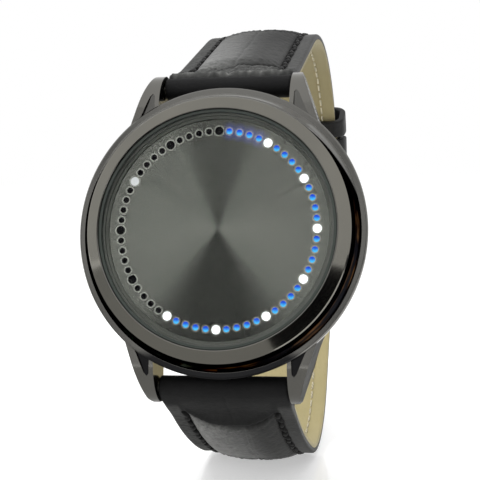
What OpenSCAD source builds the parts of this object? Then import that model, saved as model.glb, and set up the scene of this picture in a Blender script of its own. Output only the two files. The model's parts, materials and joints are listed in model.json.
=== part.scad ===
// Touch-screen LED wristwatch on a padded leather strap, buckled into a loop and leaning back.
// The origin is the centre of the case back's outer face. +X points to 3 o'clock, and the dial
// faces -Y and a little up. Inside leaned(), y is the depth behind the dial's front face and
// z points to 12 o'clock.

/* [Stance] */
// Angle by which the whole watch leans back from upright
lean = 12; // [0:1:20]

/* [Case] */
// Diameter of the case at its front ledge
case_d = 47.2; // [46.4:0.2:50]
// Depth of the ledge's front face behind the dial
ledge_depth = 2.5; // [2.3:0.1:3]
// Thickness of the ledge's upright rim
ledge_t = 1.1; // [0.6:0.1:1.6]
// Radius of the rounding along the ledge's front edge
ledge_round = 0.25; // [0.1:0.05:0.4]
// Diameter of the case where it meets the case back
case_back_seat_d = 45.2; // [44.8:0.1:46]
// Depth of the case's back face behind the dial
case_depth = 8.4; // [8.2:0.1:10]
// Width of the flat ledge left outside the bezel
ledge_w = 0.8; // [0.6:0.05:1]
// Wall of the neck that the bezel is pressed on
neck_wall = 1.35; // [1:0.05:1.5]
// Depth of the neck's front edge behind the dial
neck_depth = 0.75; // [0.6:0.05:1.2]

/* [Lugs] */
// Clear width between a pair of lugs
lug_gap = 22; // [20:1:22]
// Distance from the case's back edge out to the spring bars
bar_reach = 2.6; // [2.5:0.1:3.4]
// Depth of the spring bars behind the dial
bar_depth = 7.9; // [7.6:0.1:8.2]
// Radius of the curve along a lug's front
lug_curve_r = 6.8; // [6.6:0.1:7.4]
// Distance from the spring bar down to where a lug's front begins to curve back
lug_curve_run = 4.2; // [3.8:0.1:4.6]
// How far a lug runs in under the case's edge
lug_sink = 6.6; // [6:0.1:7]
// Radius of the rounding at a lug's tip
lug_tip_r = 1.1; // [0.8:0.1:1.6]
// Width of a lug where it leaves the case
lug_root_w = 4.5; // [3.8:0.1:5]
// Width of a lug at its tip
lug_tip_w = 1.9; // [1.6:0.1:2.6]
// How far the lugs reach behind the case's back face
lug_drop = 1.9; // [1:0.1:2.4]
// Width of the three-cornered recess at the foot of each lug
facet_w = 2.7; // [1.8:0.1:3]
// Length of that recess along the lug
facet_l = 4; // [3:0.1:4.4]
// Depth behind the ledge's face at which the recess is flat
facet_depth = 1.35; // [1.1:0.05:1.6]
// Wall left between the recess and the strap's side of the lug
facet_wall = 0.35; // [0.25:0.05:0.6]

/* [Bezel] */
// Height of the bezel's inner edge in front of the dial
bezel_top = 1.9; // [1.7:0.1:2.4]
// Width of the bezel's sloped polished band
band_w = 2; // [1.7:0.1:2.3]
// Height of the band's outer edge in front of the dial
band_h = 0.7; // [0.5:0.1:1]
// How far the bezel's outer wall flares out below the band
bezel_flare = 1.5; // [1.2:0.1:1.7]
// Gap left between the bezel's foot and the ledge
bezel_gap = 0.1; // [0.05:0.05:0.2]
// Clearance between the bezel and the neck all round
neck_fit = 0.04; // [0.02:0.01:0.08]

/* [Crystal and dial] */
// Thickness of the flat mineral crystal
crystal_t = 1.2; // [0.8:0.1:1.3]
// Chamfer round the crystal's front edge
crystal_chamfer = 0.2; // [0.1:0.05:0.3]
// Width of the gasket between the crystal and the bezel
crystal_gasket_w = 0.33; // [0.25:0.01:0.4]
// Clearance of loose round pieces in their bores
seat_gap = 0.05; // [0.02:0.01:0.1]
// Width of the inner ring that frames the dial
inner_ring_w = 1.25; // [1.1:0.05:1.5]
// Width of the step in the inner ring
inner_ring_step_w = 0.5; // [0.3:0.1:0.6]
// Height of the inner ring's lower step above the dial
inner_ring_step_h = 0.25; // [0.15:0.05:0.4]
// Thickness of the dial plate
dial_t = 0.5; // [0.3:0.1:0.7]
// Distance from the inner ring in to the circle of light holes
light_inset = 1.95; // [1.7:0.05:3]
// Number of light holes round the dial
light_count = 60; // [12:12:60]
// Every so many holes, one is an hour hole
hour_every = 5; // [1:1:5]
// Diameter of an hour hole
hour_hole_d = 1.44; // [1.2:0.02:1.5]
// Diameter of a minute hole
minute_hole_d = 1; // [0.8:0.02:1.1]
// Clearance round each clear light window
window_gap = 0.02; // [0.01:0.01:0.04]
// How far the windows sit below the dial's front
window_sink = 0.1; // [0.05:0.05:0.2]
// Thickness of the clear touch film under the crystal
touch_film_t = 0.12; // [0.08:0.01:0.15]

/* [Works] */
// Thickness of the black plate that keeps each lamp's light in its own hole
light_mask_t = 0.8; // [0.6:0.1:1]
// How much wider the mask's holes are than the dial's
mask_hole_extra = 0.16; // [0.1:0.02:0.2]
// Thickness of the circuit board
board_t = 0.8; // [0.6:0.1:1]
// Gap between the circuit board's edge and the bore
board_gap = 0.4; // [0.2:0.1:0.6]
// Length of an hour lamp
hour_led_l = 1; // [0.8:0.05:1.1]
// Width of an hour lamp
hour_led_w = 0.6; // [0.4:0.05:0.8]
// Length of a minute lamp
minute_led_l = 0.8; // [0.6:0.05:0.85]
// Width of a minute lamp
minute_led_w = 0.5; // [0.3:0.05:0.55]
// Height of the lamps on the board
led_h = 0.4; // [0.3:0.05:0.5]
// Side of the controller chip
chip_w = 6; // [4:0.5:7]
// Thickness of the controller chip
chip_t = 0.9; // [0.6:0.1:1]
// Diameter of the quartz can
quartz_d = 1.1; // [0.9:0.1:1.2]
// Length of the quartz can
quartz_l = 5; // [4:0.5:6]
// Length of a capacitor
cap_l = 1.6; // [1:0.1:2]
// Width and height of a capacitor
cap_w = 0.8; // [0.5:0.1:0.9]
// Number of capacitors in their row
cap_count = 5; // [3:1:7]
// Depth of the room for components behind the board
component_room = 1.3; // [1.25:0.05:1.6]
// Thickness of the floor that carries the battery cells
holder_floor = 0.9; // [0.6:0.1:1]
// Wall of the works holder
holder_wall = 1.6; // [1.2:0.1:2.4]
// Diameter of a battery cell
cell_d = 20; // [16:1:20]
// Thickness of a battery cell
cell_t = 1.6; // [1.2:0.1:1.6]
// Thickness of the sheet-metal battery clip
clip_t = 0.25; // [0.2:0.05:0.3]
// Width of the battery clip
clip_w = 6; // [4:0.5:8]
// Distance between the battery clip's two screws
clip_screw_pitch = 26; // [25:0.5:30]
// Thread diameter of the clip screws
clip_screw_d = 1; // [0.8:0.1:1.2]
// Head diameter of the clip screws
clip_head_d = 1.9; // [1.6:0.1:2.2]
// Head height of the clip screws
clip_head_t = 0.22; // [0.15:0.01:0.25]
// Length of the clip screws' threads
clip_screw_l = 2; // [1.5:0.1:2.4]

/* [Case back] */
// Width of the case's edge left outside the case back
back_inset = 0.2; // [0.1:0.05:0.4]
// Thickness of the case back
back_t = 1.2; // [1.1:0.1:1.6]
// Chamfer round the case back's outer edge
back_chamfer = 0.3; // [0.2:0.1:0.4]
// Height of the case back's locating rim inside the bore
back_rim_h = 0.25; // [0.2:0.05:0.3]
// Width of that rim
back_rim_w = 0.8; // [0.5:0.1:1.2]
// Wall between the bore and the seal's groove
seal_wall = 0.4; // [0.3:0.05:0.6]
// Width of the seal's groove
seal_w = 0.6; // [0.4:0.05:0.7]
// Depth of the seal's groove
seal_groove = 0.5; // [0.4:0.05:0.6]
// Thread diameter of the case back screws
back_screw_d = 1; // [0.8:0.1:1.1]
// Head diameter of the case back screws
back_head_d = 1.8; // [1.6:0.1:2]
// Head height of the case back screws
back_head_t = 0.5; // [0.4:0.05:0.6]
// Length of the case back screws' threads
back_screw_l = 2.2; // [1.6:0.1:3]

/* [Spring bars] */
// Diameter of a strap bar's tube
tube_d = 1.8; // [1.6:0.1:2]
// Wall of every bar's tube
tube_wall = 0.3; // [0.25:0.05:0.35]
// Gap between the tube's end and a tip's collar, which is the tip's travel
tip_travel = 0.9; // [0.85:0.05:1]
// Length of a tip's collar
collar_l = 0.5; // [0.3:0.05:0.6]
// Gap between a tip's collar and the lug
collar_gap = 0.15; // [0.05:0.05:0.25]
// Length of a tip beyond its collar
tip_l = 1; // [0.8:0.05:1.05]
// Diameter of a strap bar's tips
tip_d = 0.9; // [0.7:0.1:1]
// Length of a tip's shank inside the tube
shank_l = 3.5; // [2.5:0.5:4]
// Running clearance of round parts that turn or slide on each other
run_gap = 0.05; // [0.02:0.01:0.08]
// Diameter of the buckle bar's tube
buckle_tube_d = 1.5; // [1.4:0.1:1.6]
// Diameter of the buckle bar's tips
buckle_tip_d = 0.7; // [0.6:0.1:0.8]

/* [Strap] */
// Gap between the strap's end and each lug
strap_side_gap = 0.2; // [0.1:0.05:0.3]
// Width of the strap at the buckle and at the tail
strap_end_w = 20.8; // [19:0.1:21]
// Thickness of the leather and of the folded end round a lug bar, from the bar's centre
lug_roll_r = 1.95; // [1.85:0.05:2.1]
// Thickness of the folded end round the buckle bar, from the bar's centre
buckle_roll_r = 1.65; // [1.5:0.05:1.7]
// Thickness of the lining leather
lining_t = 0.8; // [0.7:0.05:1.1]
// Thickness of the top leather
leather_t = 1; // [0.9:0.05:1.3]
// Height of the padding at its fullest
pad_h = 1.4; // [1:0.1:2]
// Height left of the padding at the buckle end of the short piece
pad_end_h = 0.35; // [0.1:0.05:0.5]
// Width of the flat border outside the padding
border_w = 3.3; // [2.6:0.1:4]
// Distance from a lug bar to where the folded end stops and the padding starts
fold_l = 6.5; // [5:0.5:8]
// Gap between glued layers
glue_gap = 0.04; // [0.02:0.01:0.06]
// Direction in which the short piece leaves its lug bar, above the horizontal
short_angle = 28.4; // [25:0.1:36]
// Length of the short piece's straight stretch at the lugs
short_straight = 33.6; // [30:0.1:40]
// Radius of the short piece over the wrist
short_r = 33.7; // [28:0.1:38]
// Angle through which the short piece turns over the wrist
short_turn = 64.8; // [60:0.1:70]
// Radius of the short piece at the buckle corner
corner_r = 17; // [16:0.5:22]
// Angle of that corner up to the buckle bar
corner_turn = 58; // [52:1:62]
// Direction in which the long piece leaves its lug bar, below the horizontal
long_angle = 30; // [28:0.5:40]
// Radius of the long piece's first bend
long_r = 87; // [70:1:100]
// Angle of the long piece's first bend
long_turn = 22.5; // [18:0.5:30]
// Radius of the long piece's second bend
heel_r = 21.6; // [18:0.1:26]
// Distance between the middles of the two pieces where the tail overlaps
overlap_gap = 3.1; // [3:0.05:3.6]
// Distance from the hole in use to the tip of the tail
tail_l = 18.7; // [17:0.1:20]
// Length of the tail's rounded point
point_l = 9; // [6:0.5:12]
// Distance before the folded end's edge at which the padding begins to rise
pad_lead = 2; // [1:0.5:3]
// Length over which the padding rises to its full height
pad_rise_l = 8; // [6:0.5:10]
// Length of the short piece over which the padding keeps its full height
short_full_l = 24; // [18:1:30]
// Length left before the buckle bar where the padding has thinned
short_thin_l = 18; // [14:1:20]
// Length of the long piece over which the padding keeps its full height
long_full_l = 32; // [24:1:40]
// Length over which the padding runs out
pad_out_l = 3; // [2:0.5:4]
// Length of the padding in the long piece
long_pad_l = 56; // [44:1:58]
// Number of holes in the long piece
hole_count = 7; // [5:1:7]
// Distance between neighbouring holes
hole_pitch = 6.5; // [6:0.5:7]
// Diameter of the holes
hole_d = 2.3; // [2.2:0.1:2.6]
// Thread diameter of the stitching
thread_d = 0.5; // [0.3:0.05:0.5]
// Length of a stitch
stitch_l = 1.9; // [1.4:0.1:2]
// Distance from one stitch to the next
stitch_pitch = 2.3; // [2.2:0.1:3.4]
// Distance of the stitching from the strap's edge
stitch_inset = 2.8; // [2:0.1:3]

/* [Keepers] */
// Thickness of the keepers' leather
keeper_t = 1.3; // [1:0.1:1.5]
// Gap between a keeper and the strap's sides
keeper_side_gap = 0.8; // [0.5:0.1:1.2]
// Gap between a keeper and the strap below and above
keeper_gap = 0.45; // [0.4:0.05:0.8]
// Angle that the fixed keeper covers round the buckle corner
fixed_keeper_span = 13; // [10:1:14]
// Angle from the buckle bar to the fixed keeper
fixed_keeper_from = 12; // [8.5:0.5:14]
// Angle that the free keeper covers
free_keeper_span = 14; // [10:1:14]
// Angle between the two keepers at rest
keeper_spacing = 2.5; // [2:0.5:4]
// Radius of the keepers' outer corners
keeper_round = 1.5; // [1:0.1:1.8]

/* [Buckle] */
// Thickness of the buckle frame
frame_t = 1.8; // [1.4:0.1:2]
// Width of the buckle frame's bars
frame_bar_w = 2.4; // [2:0.1:3]
// Diameter of the frame's rounded rim
rim_d = 2; // [1.9:0.1:2.2]
// Gap between the strap's sides and the frame
frame_side_gap = 0.25; // [0.2:0.05:0.5]
// Distance from the buckle bar to the middle of the frame's rim
frame_l = 11.3; // [10:0.1:12]
// Radius to which the frame is curved
frame_r = 16; // [14:0.5:22]
// Radius of the frame's outer corners seen from outside
frame_round = 3; // [2:0.1:4]
// Gap between the frame's rim and the long piece under it
rim_gap = 0.3; // [0.3:0.05:0.6]
// Width of the tang's loop round the bar
tang_loop_w = 3; // [2.4:0.1:3.2]
// Diameter of the tang's finger
tang_d = 1.2; // [1:0.05:1.3]
// Angle between the tang's rise through the hole and the frame
tang_rise = 55; // [50:1:60]
// Diameter of the rounded knuckle where the tang turns down over the rim
tang_knuckle_d = 1.4; // [1.3:0.05:1.5]
// Gap between the tang's tip and the frame's rim
tang_rest_gap = 0.08; // [0.05:0.01:0.12]
// How far the tang's tip reaches past the middle of the rim
tang_past = 1.4; // [1:0.1:1.8]
// Width of the slot for the tang in the short piece's end
slot_w = 3.6; // [3.4:0.1:4.4]
// Length of that slot behind the bar
slot_l = 3.4; // [3:0.1:5]

/* [Hidden] */
$fn = 64;
over = 1;
GUNMETAL = [0.30, 0.30, 0.29];
STEEL = [0.62, 0.62, 0.60];
BLACK = [0.07, 0.07, 0.07];
LEATHER = [0.10, 0.10, 0.10];
LINING = [0.66, 0.60, 0.47];

back_face = case_depth + back_t;
bezel_foot_r = case_d / 2 - ledge_w;
band_r = bezel_foot_r - bezel_flare;
bore_r = band_r - band_w;
bore_d = 2 * bore_r;
neck_d = bore_d + 2 * neck_wall;
bar_height = case_back_seat_d / 2 + bar_reach;
dial_view_d = bore_d - 2 * inner_ring_w;
light_circle_d = dial_view_d - 2 * light_inset;
back_d = case_back_seat_d - 2 * back_inset;
seal_d = bore_d + 2 * seal_wall + seal_w;
back_screw_circle = seal_d + seal_w + back_head_d;
seat_r = bore_r - seat_gap;
crystal_top = bezel_top - 0.1;
crystal_under = crystal_top - crystal_t;
crystal_r = seat_r - crystal_gasket_w;
mask_from = dial_t;
board_from = mask_from + light_mask_t;
board_back = board_from + board_t;
floor_from = board_back + component_room;
floor_to = floor_from + holder_floor;
clip_from = floor_to + 2 * cell_t;
holder_back = clip_from + clip_t;
cell_fit = 0.15;
light_step = 360 / light_count;

// Places the dial's own axes in the part's frame
module leaned() rotate([-lean, 0, 0]) translate([0, -back_face, 0]) children();

// Draws a side profile, depth across and height up, as a solid along X
module side(from, to) rotate([90, 0, 90]) translate([0, 0, from]) linear_extrude(to - from) children();

// Turns a profile of radius and depth about the dial's axis
module turned() rotate([-90, 0, 0]) rotate_extrude($fn = 180) children();

module disc(r, from, to) translate([0, from, 0]) rotate([-90, 0, 0]) cylinder(r = r, h = to - from, $fn = 120);

module ring(inner, outer, from, to) difference() {
    disc(outer, from, to);
    disc(inner, from - over, to + over);
}

// Moves a child out to a radius at a clock angle on the dial
module at_clock(angle, r) rotate([0, angle, 0]) translate([0, 0, r]) children();

module rod_x(r, from, to) translate([from, 0, 0]) rotate([0, 90, 0]) cylinder(r = r, h = to - from, $fn = 48);

function is_hour(i) = i % hour_every == 0;

module at_lights(hours) for (i = [0:light_count - 1])
    if (is_hour(i) == hours) at_clock(i * light_step, light_circle_d / 2) children();

module all_lights(extra, from, to) {
    at_lights(true) disc((hour_hole_d + extra) / 2, from, to);
    at_lights(false) disc((minute_hole_d + extra) / 2, from, to);
}

// Case middle: ledge, tapered wall, neck and four lugs

case_foot_h = 1.2;
case_foot_in = 0.35;

module case_profile() difference() {
    polygon([[bore_r, neck_depth], [neck_d / 2, neck_depth], [neck_d / 2, ledge_depth],
        [case_d / 2 - ledge_round, ledge_depth], [case_d / 2, ledge_depth + ledge_round],
        [case_d / 2, ledge_depth + ledge_t], [case_back_seat_d / 2 + case_foot_in, case_depth - case_foot_h],
        [case_back_seat_d / 2, case_depth], [bore_r, case_depth]]);
    translate([seal_d / 2 - seal_w / 2, case_depth - seal_groove]) square([seal_w, seal_groove + over]);
}

lug_step = 0.45;
lug_relief_r = 3.2;
lug_relief_in = 2.2;
lug_front = ledge_depth + lug_step;
lug_back = case_depth + lug_drop;
lug_root_z = case_d / 2 - lug_sink;
lug_curve_start = bar_height - lug_curve_run;
curve_y = lug_front + lug_curve_r;
tip_run = lug_back - lug_tip_r - curve_y;
lug_tip_z = lug_curve_start + sqrt(lug_curve_r * lug_curve_r - tip_run * tip_run);

module lug_profile() difference() {
    union() {
        intersection() {
            translate([curve_y, lug_curve_start]) circle(lug_curve_r, $fn = 96);
            translate([lug_front, lug_curve_start]) square([lug_back - lug_tip_r - lug_front, lug_curve_r]);
        }
        translate([lug_back - lug_tip_r, lug_tip_z - lug_tip_r]) circle(lug_tip_r);
        translate([lug_front, lug_root_z]) square([lug_back - lug_front, lug_curve_start - lug_root_z]);
        translate([lug_front + lug_curve_r / 2, lug_curve_start - 0.1])
            square([lug_back - lug_front - lug_curve_r / 2, lug_tip_z - lug_tip_r - lug_curve_start + 0.1]);
    }
    translate([lug_back + lug_relief_in, lug_curve_start - lug_relief_in]) circle(lug_relief_r);
}

module lug_outline() polygon([[lug_gap / 2, lug_root_z], [lug_gap / 2 + lug_root_w + 0.6, lug_root_z],
    [lug_gap / 2 + lug_root_w, lug_root_z + 1.8], [lug_gap / 2 + lug_tip_w, lug_tip_z - 0.9],
    [lug_gap / 2 + lug_tip_w - 0.55, lug_tip_z - 0.2], [lug_gap / 2 + lug_tip_w - 1, lug_tip_z],
    [lug_gap / 2 + 0.25, lug_tip_z], [lug_gap / 2, lug_tip_z - 0.25]]);

facet_z = sqrt(pow(case_d / 2, 2) - pow(lug_gap / 2, 2)) - 0.1;

module lug_facet() rotate([90, 0, 0]) translate([0, 0, -ledge_depth - facet_depth])
    linear_extrude(ledge_depth + facet_depth)
    polygon([[lug_gap / 2 + facet_wall, facet_z - 3], [lug_gap / 2 + facet_wall + facet_w + 1, facet_z - 3],
        [lug_gap / 2 + facet_wall + facet_w, facet_z - 0.9], [lug_gap / 2 + facet_wall + 1.25, facet_z + facet_l - 1],
        [lug_gap / 2 + facet_wall + 0.7, facet_z + facet_l - 0.4], [lug_gap / 2 + facet_wall + 0.2, facet_z + facet_l - 0.9]]);

module lug() difference() {
    intersection() {
        side(lug_gap / 2, lug_gap / 2 + lug_root_w + over) lug_profile();
        rotate([90, 0, 0]) translate([0, 0, -lug_back - over]) linear_extrude(lug_back + over) lug_outline();
    }
    difference() {
        lug_facet();
        disc(case_d / 2 - 0.01, 0, lug_back);
    }
    translate([0, bar_depth, bar_height])
        rod_x(tip_d / 2 + run_gap, lug_gap / 2 - over, lug_gap / 2 + tip_l);
}

module four_ways() for (up = [0, 1], across = [0, 1])
    mirror([0, 0, up]) mirror([across, 0, 0]) children();

module case_middle() color(GUNMETAL) leaned() difference() {
    union() {
        turned() case_profile();
        four_ways() lug();
    }
    disc(bore_r, neck_depth - over, back_face + lug_drop);
    disc(back_d / 2 + 2 * seat_gap, case_depth, lug_back + over);
    at_back_screws() disc(back_screw_d / 2 + 0.01, case_depth - back_screw_l - 0.1, back_face);
}

// Bezel, crystal and their fit

module bezel() color(GUNMETAL) leaned() turned() polygon([[bore_r, -bezel_top], [bore_r + 0.15, -bezel_top - 0.03],
    [band_r - 0.15, -band_h - 0.08], [band_r + 0.08, -band_h + 0.1], [band_r + 0.25, -band_h + 0.5],
    [band_r + 0.62, -band_h + 1.4], [bezel_foot_r - 0.35, ledge_depth - 0.85],
    [bezel_foot_r, ledge_depth - bezel_gap], [neck_d / 2 + neck_fit, ledge_depth - bezel_gap],
    [neck_d / 2 + neck_fit, neck_depth], [bore_r, neck_depth]]);

module crystal() color([0.6, 0.65, 0.7, 0.3]) leaned() turned() polygon([[0, -crystal_top],
    [crystal_r - crystal_chamfer, -crystal_top], [crystal_r, -crystal_top + crystal_chamfer],
    [crystal_r, -crystal_under], [0, -crystal_under]]);

module crystal_gasket() color(BLACK) leaned()
    ring(crystal_r, seat_r, -crystal_top + crystal_chamfer, -crystal_under);

module inner_ring() color(BLACK) leaned() difference() {
    disc(seat_r, -crystal_under, 0);
    disc(dial_view_d / 2, -crystal_under - over, over);
    disc(dial_view_d / 2 + inner_ring_step_w, -crystal_under - over, -inner_ring_step_h);
}

module touch_film() color([0.7, 0.75, 0.8, 0.3]) leaned()
    disc(dial_view_d / 2 + inner_ring_step_w - seat_gap, -crystal_under, -crystal_under + touch_film_t);

// Dial, windows and lamps

module dial_plate() color([0.36, 0.36, 0.34]) leaned() difference() {
    disc(seat_r, 0, dial_t);
    all_lights(0, -over, dial_t + over);
}

module hour_windows() color([0.92, 0.94, 0.96]) leaned()
    at_lights(true) disc(hour_hole_d / 2 - window_gap, window_sink, dial_t);

module minute_windows() color([0.25, 0.45, 0.95]) leaned()
    at_lights(false) disc(minute_hole_d / 2 - window_gap, window_sink, dial_t);

module light_mask() color(BLACK) leaned() difference() {
    disc(seat_r, mask_from, board_from);
    all_lights(mask_hole_extra, mask_from - over, board_from + over);
}

module circuit_board() color([0.10, 0.30, 0.16]) leaned() disc(bore_r - board_gap, board_from, board_back);

module led(l, w) translate([-l / 2, board_from - led_h, -w / 2]) cube([l, led_h, w]);

module hour_leds() color([0.95, 0.95, 0.85]) leaned() at_lights(true) led(hour_led_l, hour_led_w);

module minute_leds() color([0.55, 0.65, 0.95]) leaned() at_lights(false) led(minute_led_l, minute_led_w);

chip_z = 2;
quartz_z = -4;
cap_z = -8;
cap_pitch = 1.5 * cap_l;

module controller_chip() color(BLACK) leaned()
    translate([-chip_w / 2, board_back, chip_z]) cube([chip_w, chip_t, chip_w]);

module quartz_can() color(STEEL) leaned()
    translate([0, board_back + quartz_d / 2, quartz_z]) rod_x(quartz_d / 2, -quartz_l / 2, quartz_l / 2);

module capacitors() color([0.62, 0.50, 0.36]) leaned() for (i = [0:cap_count - 1])
    translate([(i - (cap_count - 1) / 2) * cap_pitch - cap_w / 2, board_back, cap_z]) cube([cap_w, cap_w, cap_l]);

module works_holder() color([0.16, 0.16, 0.17]) leaned() difference() {
    disc(seat_r, board_back, holder_back);
    disc(seat_r - holder_wall, board_back - over, floor_from);
    disc(cell_d / 2 + cell_fit, floor_to, holder_back + over);
    translate([-clip_l / 2 - 0.1, clip_from, -clip_w / 2 - 0.1]) cube([clip_l + 0.2, clip_t + over, clip_w + 0.2]);
    translate([contact_x - 2 * contact_t, floor_from - over, -contact_w])
        cube([contact_l + 3 * contact_t, holder_floor + 2 * over, 2 * contact_w]);
    for (s = [-1, 1]) translate([s * clip_screw_pitch / 2, 0, 0])
        disc(clip_screw_d / 2 + 0.01, clip_from - clip_screw_l - 0.1, holder_back);
}

contact_w = 1.5;
contact_t = 0.2;
contact_x = 6;
contact_l = 2.5;
clip_l = clip_screw_pitch + 4;

module battery_contact() color([0.80, 0.66, 0.30]) leaned() translate([contact_x, 0, -contact_w / 2]) {
    translate([-contact_l, board_back, 0]) cube([contact_l, contact_t, contact_w]);
    translate([-contact_t, board_back, 0]) cube([contact_t, floor_to - board_back, contact_w]);
    translate([-contact_t, floor_to - contact_t, 0]) cube([contact_l, contact_t, contact_w]);
}

module front_cell() color(STEEL) leaned() disc(cell_d / 2, floor_to, floor_to + cell_t);

module rear_cell() color(STEEL) leaned() disc(cell_d / 2, floor_to + cell_t, floor_to + 2 * cell_t);

module battery_clip() color([0.72, 0.70, 0.64]) leaned() difference() {
    translate([-clip_l / 2, clip_from, -clip_w / 2]) cube([clip_l, clip_t, clip_w]);
    for (s = [-1, 1]) translate([s * clip_screw_pitch / 2, 0, 0])
        disc(clip_screw_d / 2 + 0.1, clip_from - over, holder_back + over);
}

module clip_screws() color(STEEL) leaned() for (s = [-1, 1]) translate([s * clip_screw_pitch / 2, 0, 0]) {
    disc(clip_head_d / 2, holder_back, holder_back + clip_head_t);
    disc(clip_screw_d / 2, clip_from - clip_screw_l, holder_back);
}

// Case back

module at_back_screws() for (a = [45:90:315]) at_clock(a, back_screw_circle / 2) children();

module case_back_seal() color(BLACK) leaned()
    ring(seal_d / 2 - seal_w / 2 + seat_gap, seal_d / 2 + seal_w / 2 - seat_gap, case_depth - seal_groove, case_depth);

module case_back() color(STEEL) leaned() difference() {
    union() {
        turned() polygon([[0, case_depth], [back_d / 2, case_depth], [back_d / 2, back_face - back_chamfer],
            [back_d / 2 - back_chamfer, back_face], [0, back_face]]);
        ring(seat_r - back_rim_w, seat_r, case_depth - back_rim_h, case_depth + 0.1);
    }
    at_back_screws() {
        disc(back_screw_d / 2 + 0.05, case_depth - over, back_face + over);
        disc(back_head_d / 2 + 0.05, back_face - back_head_t, back_face + over);
    }
}

module case_back_screws() color([0.5, 0.5, 0.5]) leaned() at_back_screws() {
    disc(back_screw_d / 2, case_depth - back_screw_l, back_face - back_head_t);
    difference() {
        disc(back_head_d / 2, back_face - back_head_t, back_face);
        translate([-back_head_d / 2, back_face - back_head_t / 2, -0.15]) cube([back_head_d, back_head_t, 0.3]);
    }
}

// Spring bars: a tube, two sprung tips that slide into it, and the spring between them

module bar_tube(d, half) difference() {
    rod_x(d / 2, -tube_half(half), tube_half(half));
    rod_x(d / 2 - tube_wall, -half, half);
}

module bar_tip(d, point_d, half) {
    rod_x(d / 2 - tube_wall - run_gap, tube_half(half) - shank_l, half - collar_gap - collar_l);
    rod_x(d / 2, half - collar_gap - collar_l, half - collar_gap);
    rod_x(point_d / 2, half - collar_gap, half - collar_gap + tip_l);
}

module bar_spring(d, half) difference() {
    rod_x(d / 2 - tube_wall - run_gap, shank_l - tube_half(half) + run_gap, tube_half(half) - shank_l - run_gap);
    rod_x(d / 2 - tube_wall - run_gap - 0.15, -half, half);
}

function tube_half(half) = half - collar_gap - collar_l - tip_travel;

module at_upper_bar() leaned() translate([0, bar_depth, bar_height]) children();
module at_lower_bar() leaned() translate([0, bar_depth, -bar_height]) children();
module at_buckle_bar() leaned() translate([0, buckle_bar[0], buckle_bar[1]]) children();

module upper_bar_tube() color(STEEL) at_upper_bar() bar_tube(tube_d, lug_gap / 2);
module upper_bar_left_tip() color(STEEL) at_upper_bar() mirror([1, 0, 0]) bar_tip(tube_d, tip_d, lug_gap / 2);
module upper_bar_right_tip() color(STEEL) at_upper_bar() bar_tip(tube_d, tip_d, lug_gap / 2);
module upper_bar_spring() color(STEEL) at_upper_bar() bar_spring(tube_d, lug_gap / 2);
module lower_bar_tube() color(STEEL) at_lower_bar() bar_tube(tube_d, lug_gap / 2);
module lower_bar_left_tip() color(STEEL) at_lower_bar() mirror([1, 0, 0]) bar_tip(tube_d, tip_d, lug_gap / 2);
module lower_bar_right_tip() color(STEEL) at_lower_bar() bar_tip(tube_d, tip_d, lug_gap / 2);
module lower_bar_spring() color(STEEL) at_lower_bar() bar_spring(tube_d, lug_gap / 2);
module buckle_bar_tube() color(STEEL) at_buckle_bar() bar_tube(buckle_tube_d, frame_half);
module buckle_bar_left_tip() color(STEEL) at_buckle_bar() mirror([1, 0, 0])
    bar_tip(buckle_tube_d, buckle_tip_d, frame_half);
module buckle_bar_right_tip() color(STEEL) at_buckle_bar() bar_tip(buckle_tube_d, buckle_tip_d, frame_half);
module buckle_bar_spring() color(STEEL) at_buckle_bar() bar_spring(buckle_tube_d, frame_half);

// The strap's line in side view: each stretch is [length, radius or 0 if straight, turn]

function arc(r, turn) = r * turn * PI / 180;

// A point and heading [depth, height, heading] after going s along one stretch from p
function go(p, part, s) = part[1] == 0 ? [p[0] + s * cos(p[2]), p[1] + s * sin(p[2]), p[2]]
    : let(h = p[2] + part[2] * s / part[1] * 180 / PI)
        [p[0] + part[2] * part[1] * (sin(h) - sin(p[2])), p[1] - part[2] * part[1] * (cos(h) - cos(p[2])), h];

function along(p, parts, s, i = 0) = i == len(parts) - 1 || s <= parts[i][0] ? go(p, parts[i], s)
    : along(go(p, parts[i], parts[i][0]), parts, s - parts[i][0], i + 1);

short_start = [bar_depth, bar_height, short_angle];
short_parts = [[short_straight, 0, 0], [arc(short_r, short_turn), short_r, -1],
    [arc(corner_r, corner_turn), corner_r, -1]];
short_l = short_parts[0][0] + short_parts[1][0] + short_parts[2][0];
corner_start = along(short_start, short_parts, short_l - short_parts[2][0]);
corner = [corner_start[0] + corner_r * sin(corner_start[2]), corner_start[1] - corner_r * cos(corner_start[2])];
buckle_bar = along(short_start, short_parts, short_l);
bar_phi = buckle_bar[2] + 90;

long_start = [bar_depth, -bar_height, -long_angle];
heel_start = go(long_start, [arc(long_r, long_turn), long_r, 1], arc(long_r, long_turn));
heel = [heel_start[0] - heel_r * sin(heel_start[2]), heel_start[1] + heel_r * cos(heel_start[2])];
tail_r = corner_r + overlap_gap;
heel_to_corner = norm(corner - heel);
rise = atan2(corner[1] - heel[1], corner[0] - heel[0]) + asin((heel_r - tail_r) / heel_to_corner);
rise_l = sqrt(pow(heel_to_corner, 2) - pow(heel_r - tail_r, 2));

// Where the buckle's rim, the tang and the hole in use lie

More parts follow.
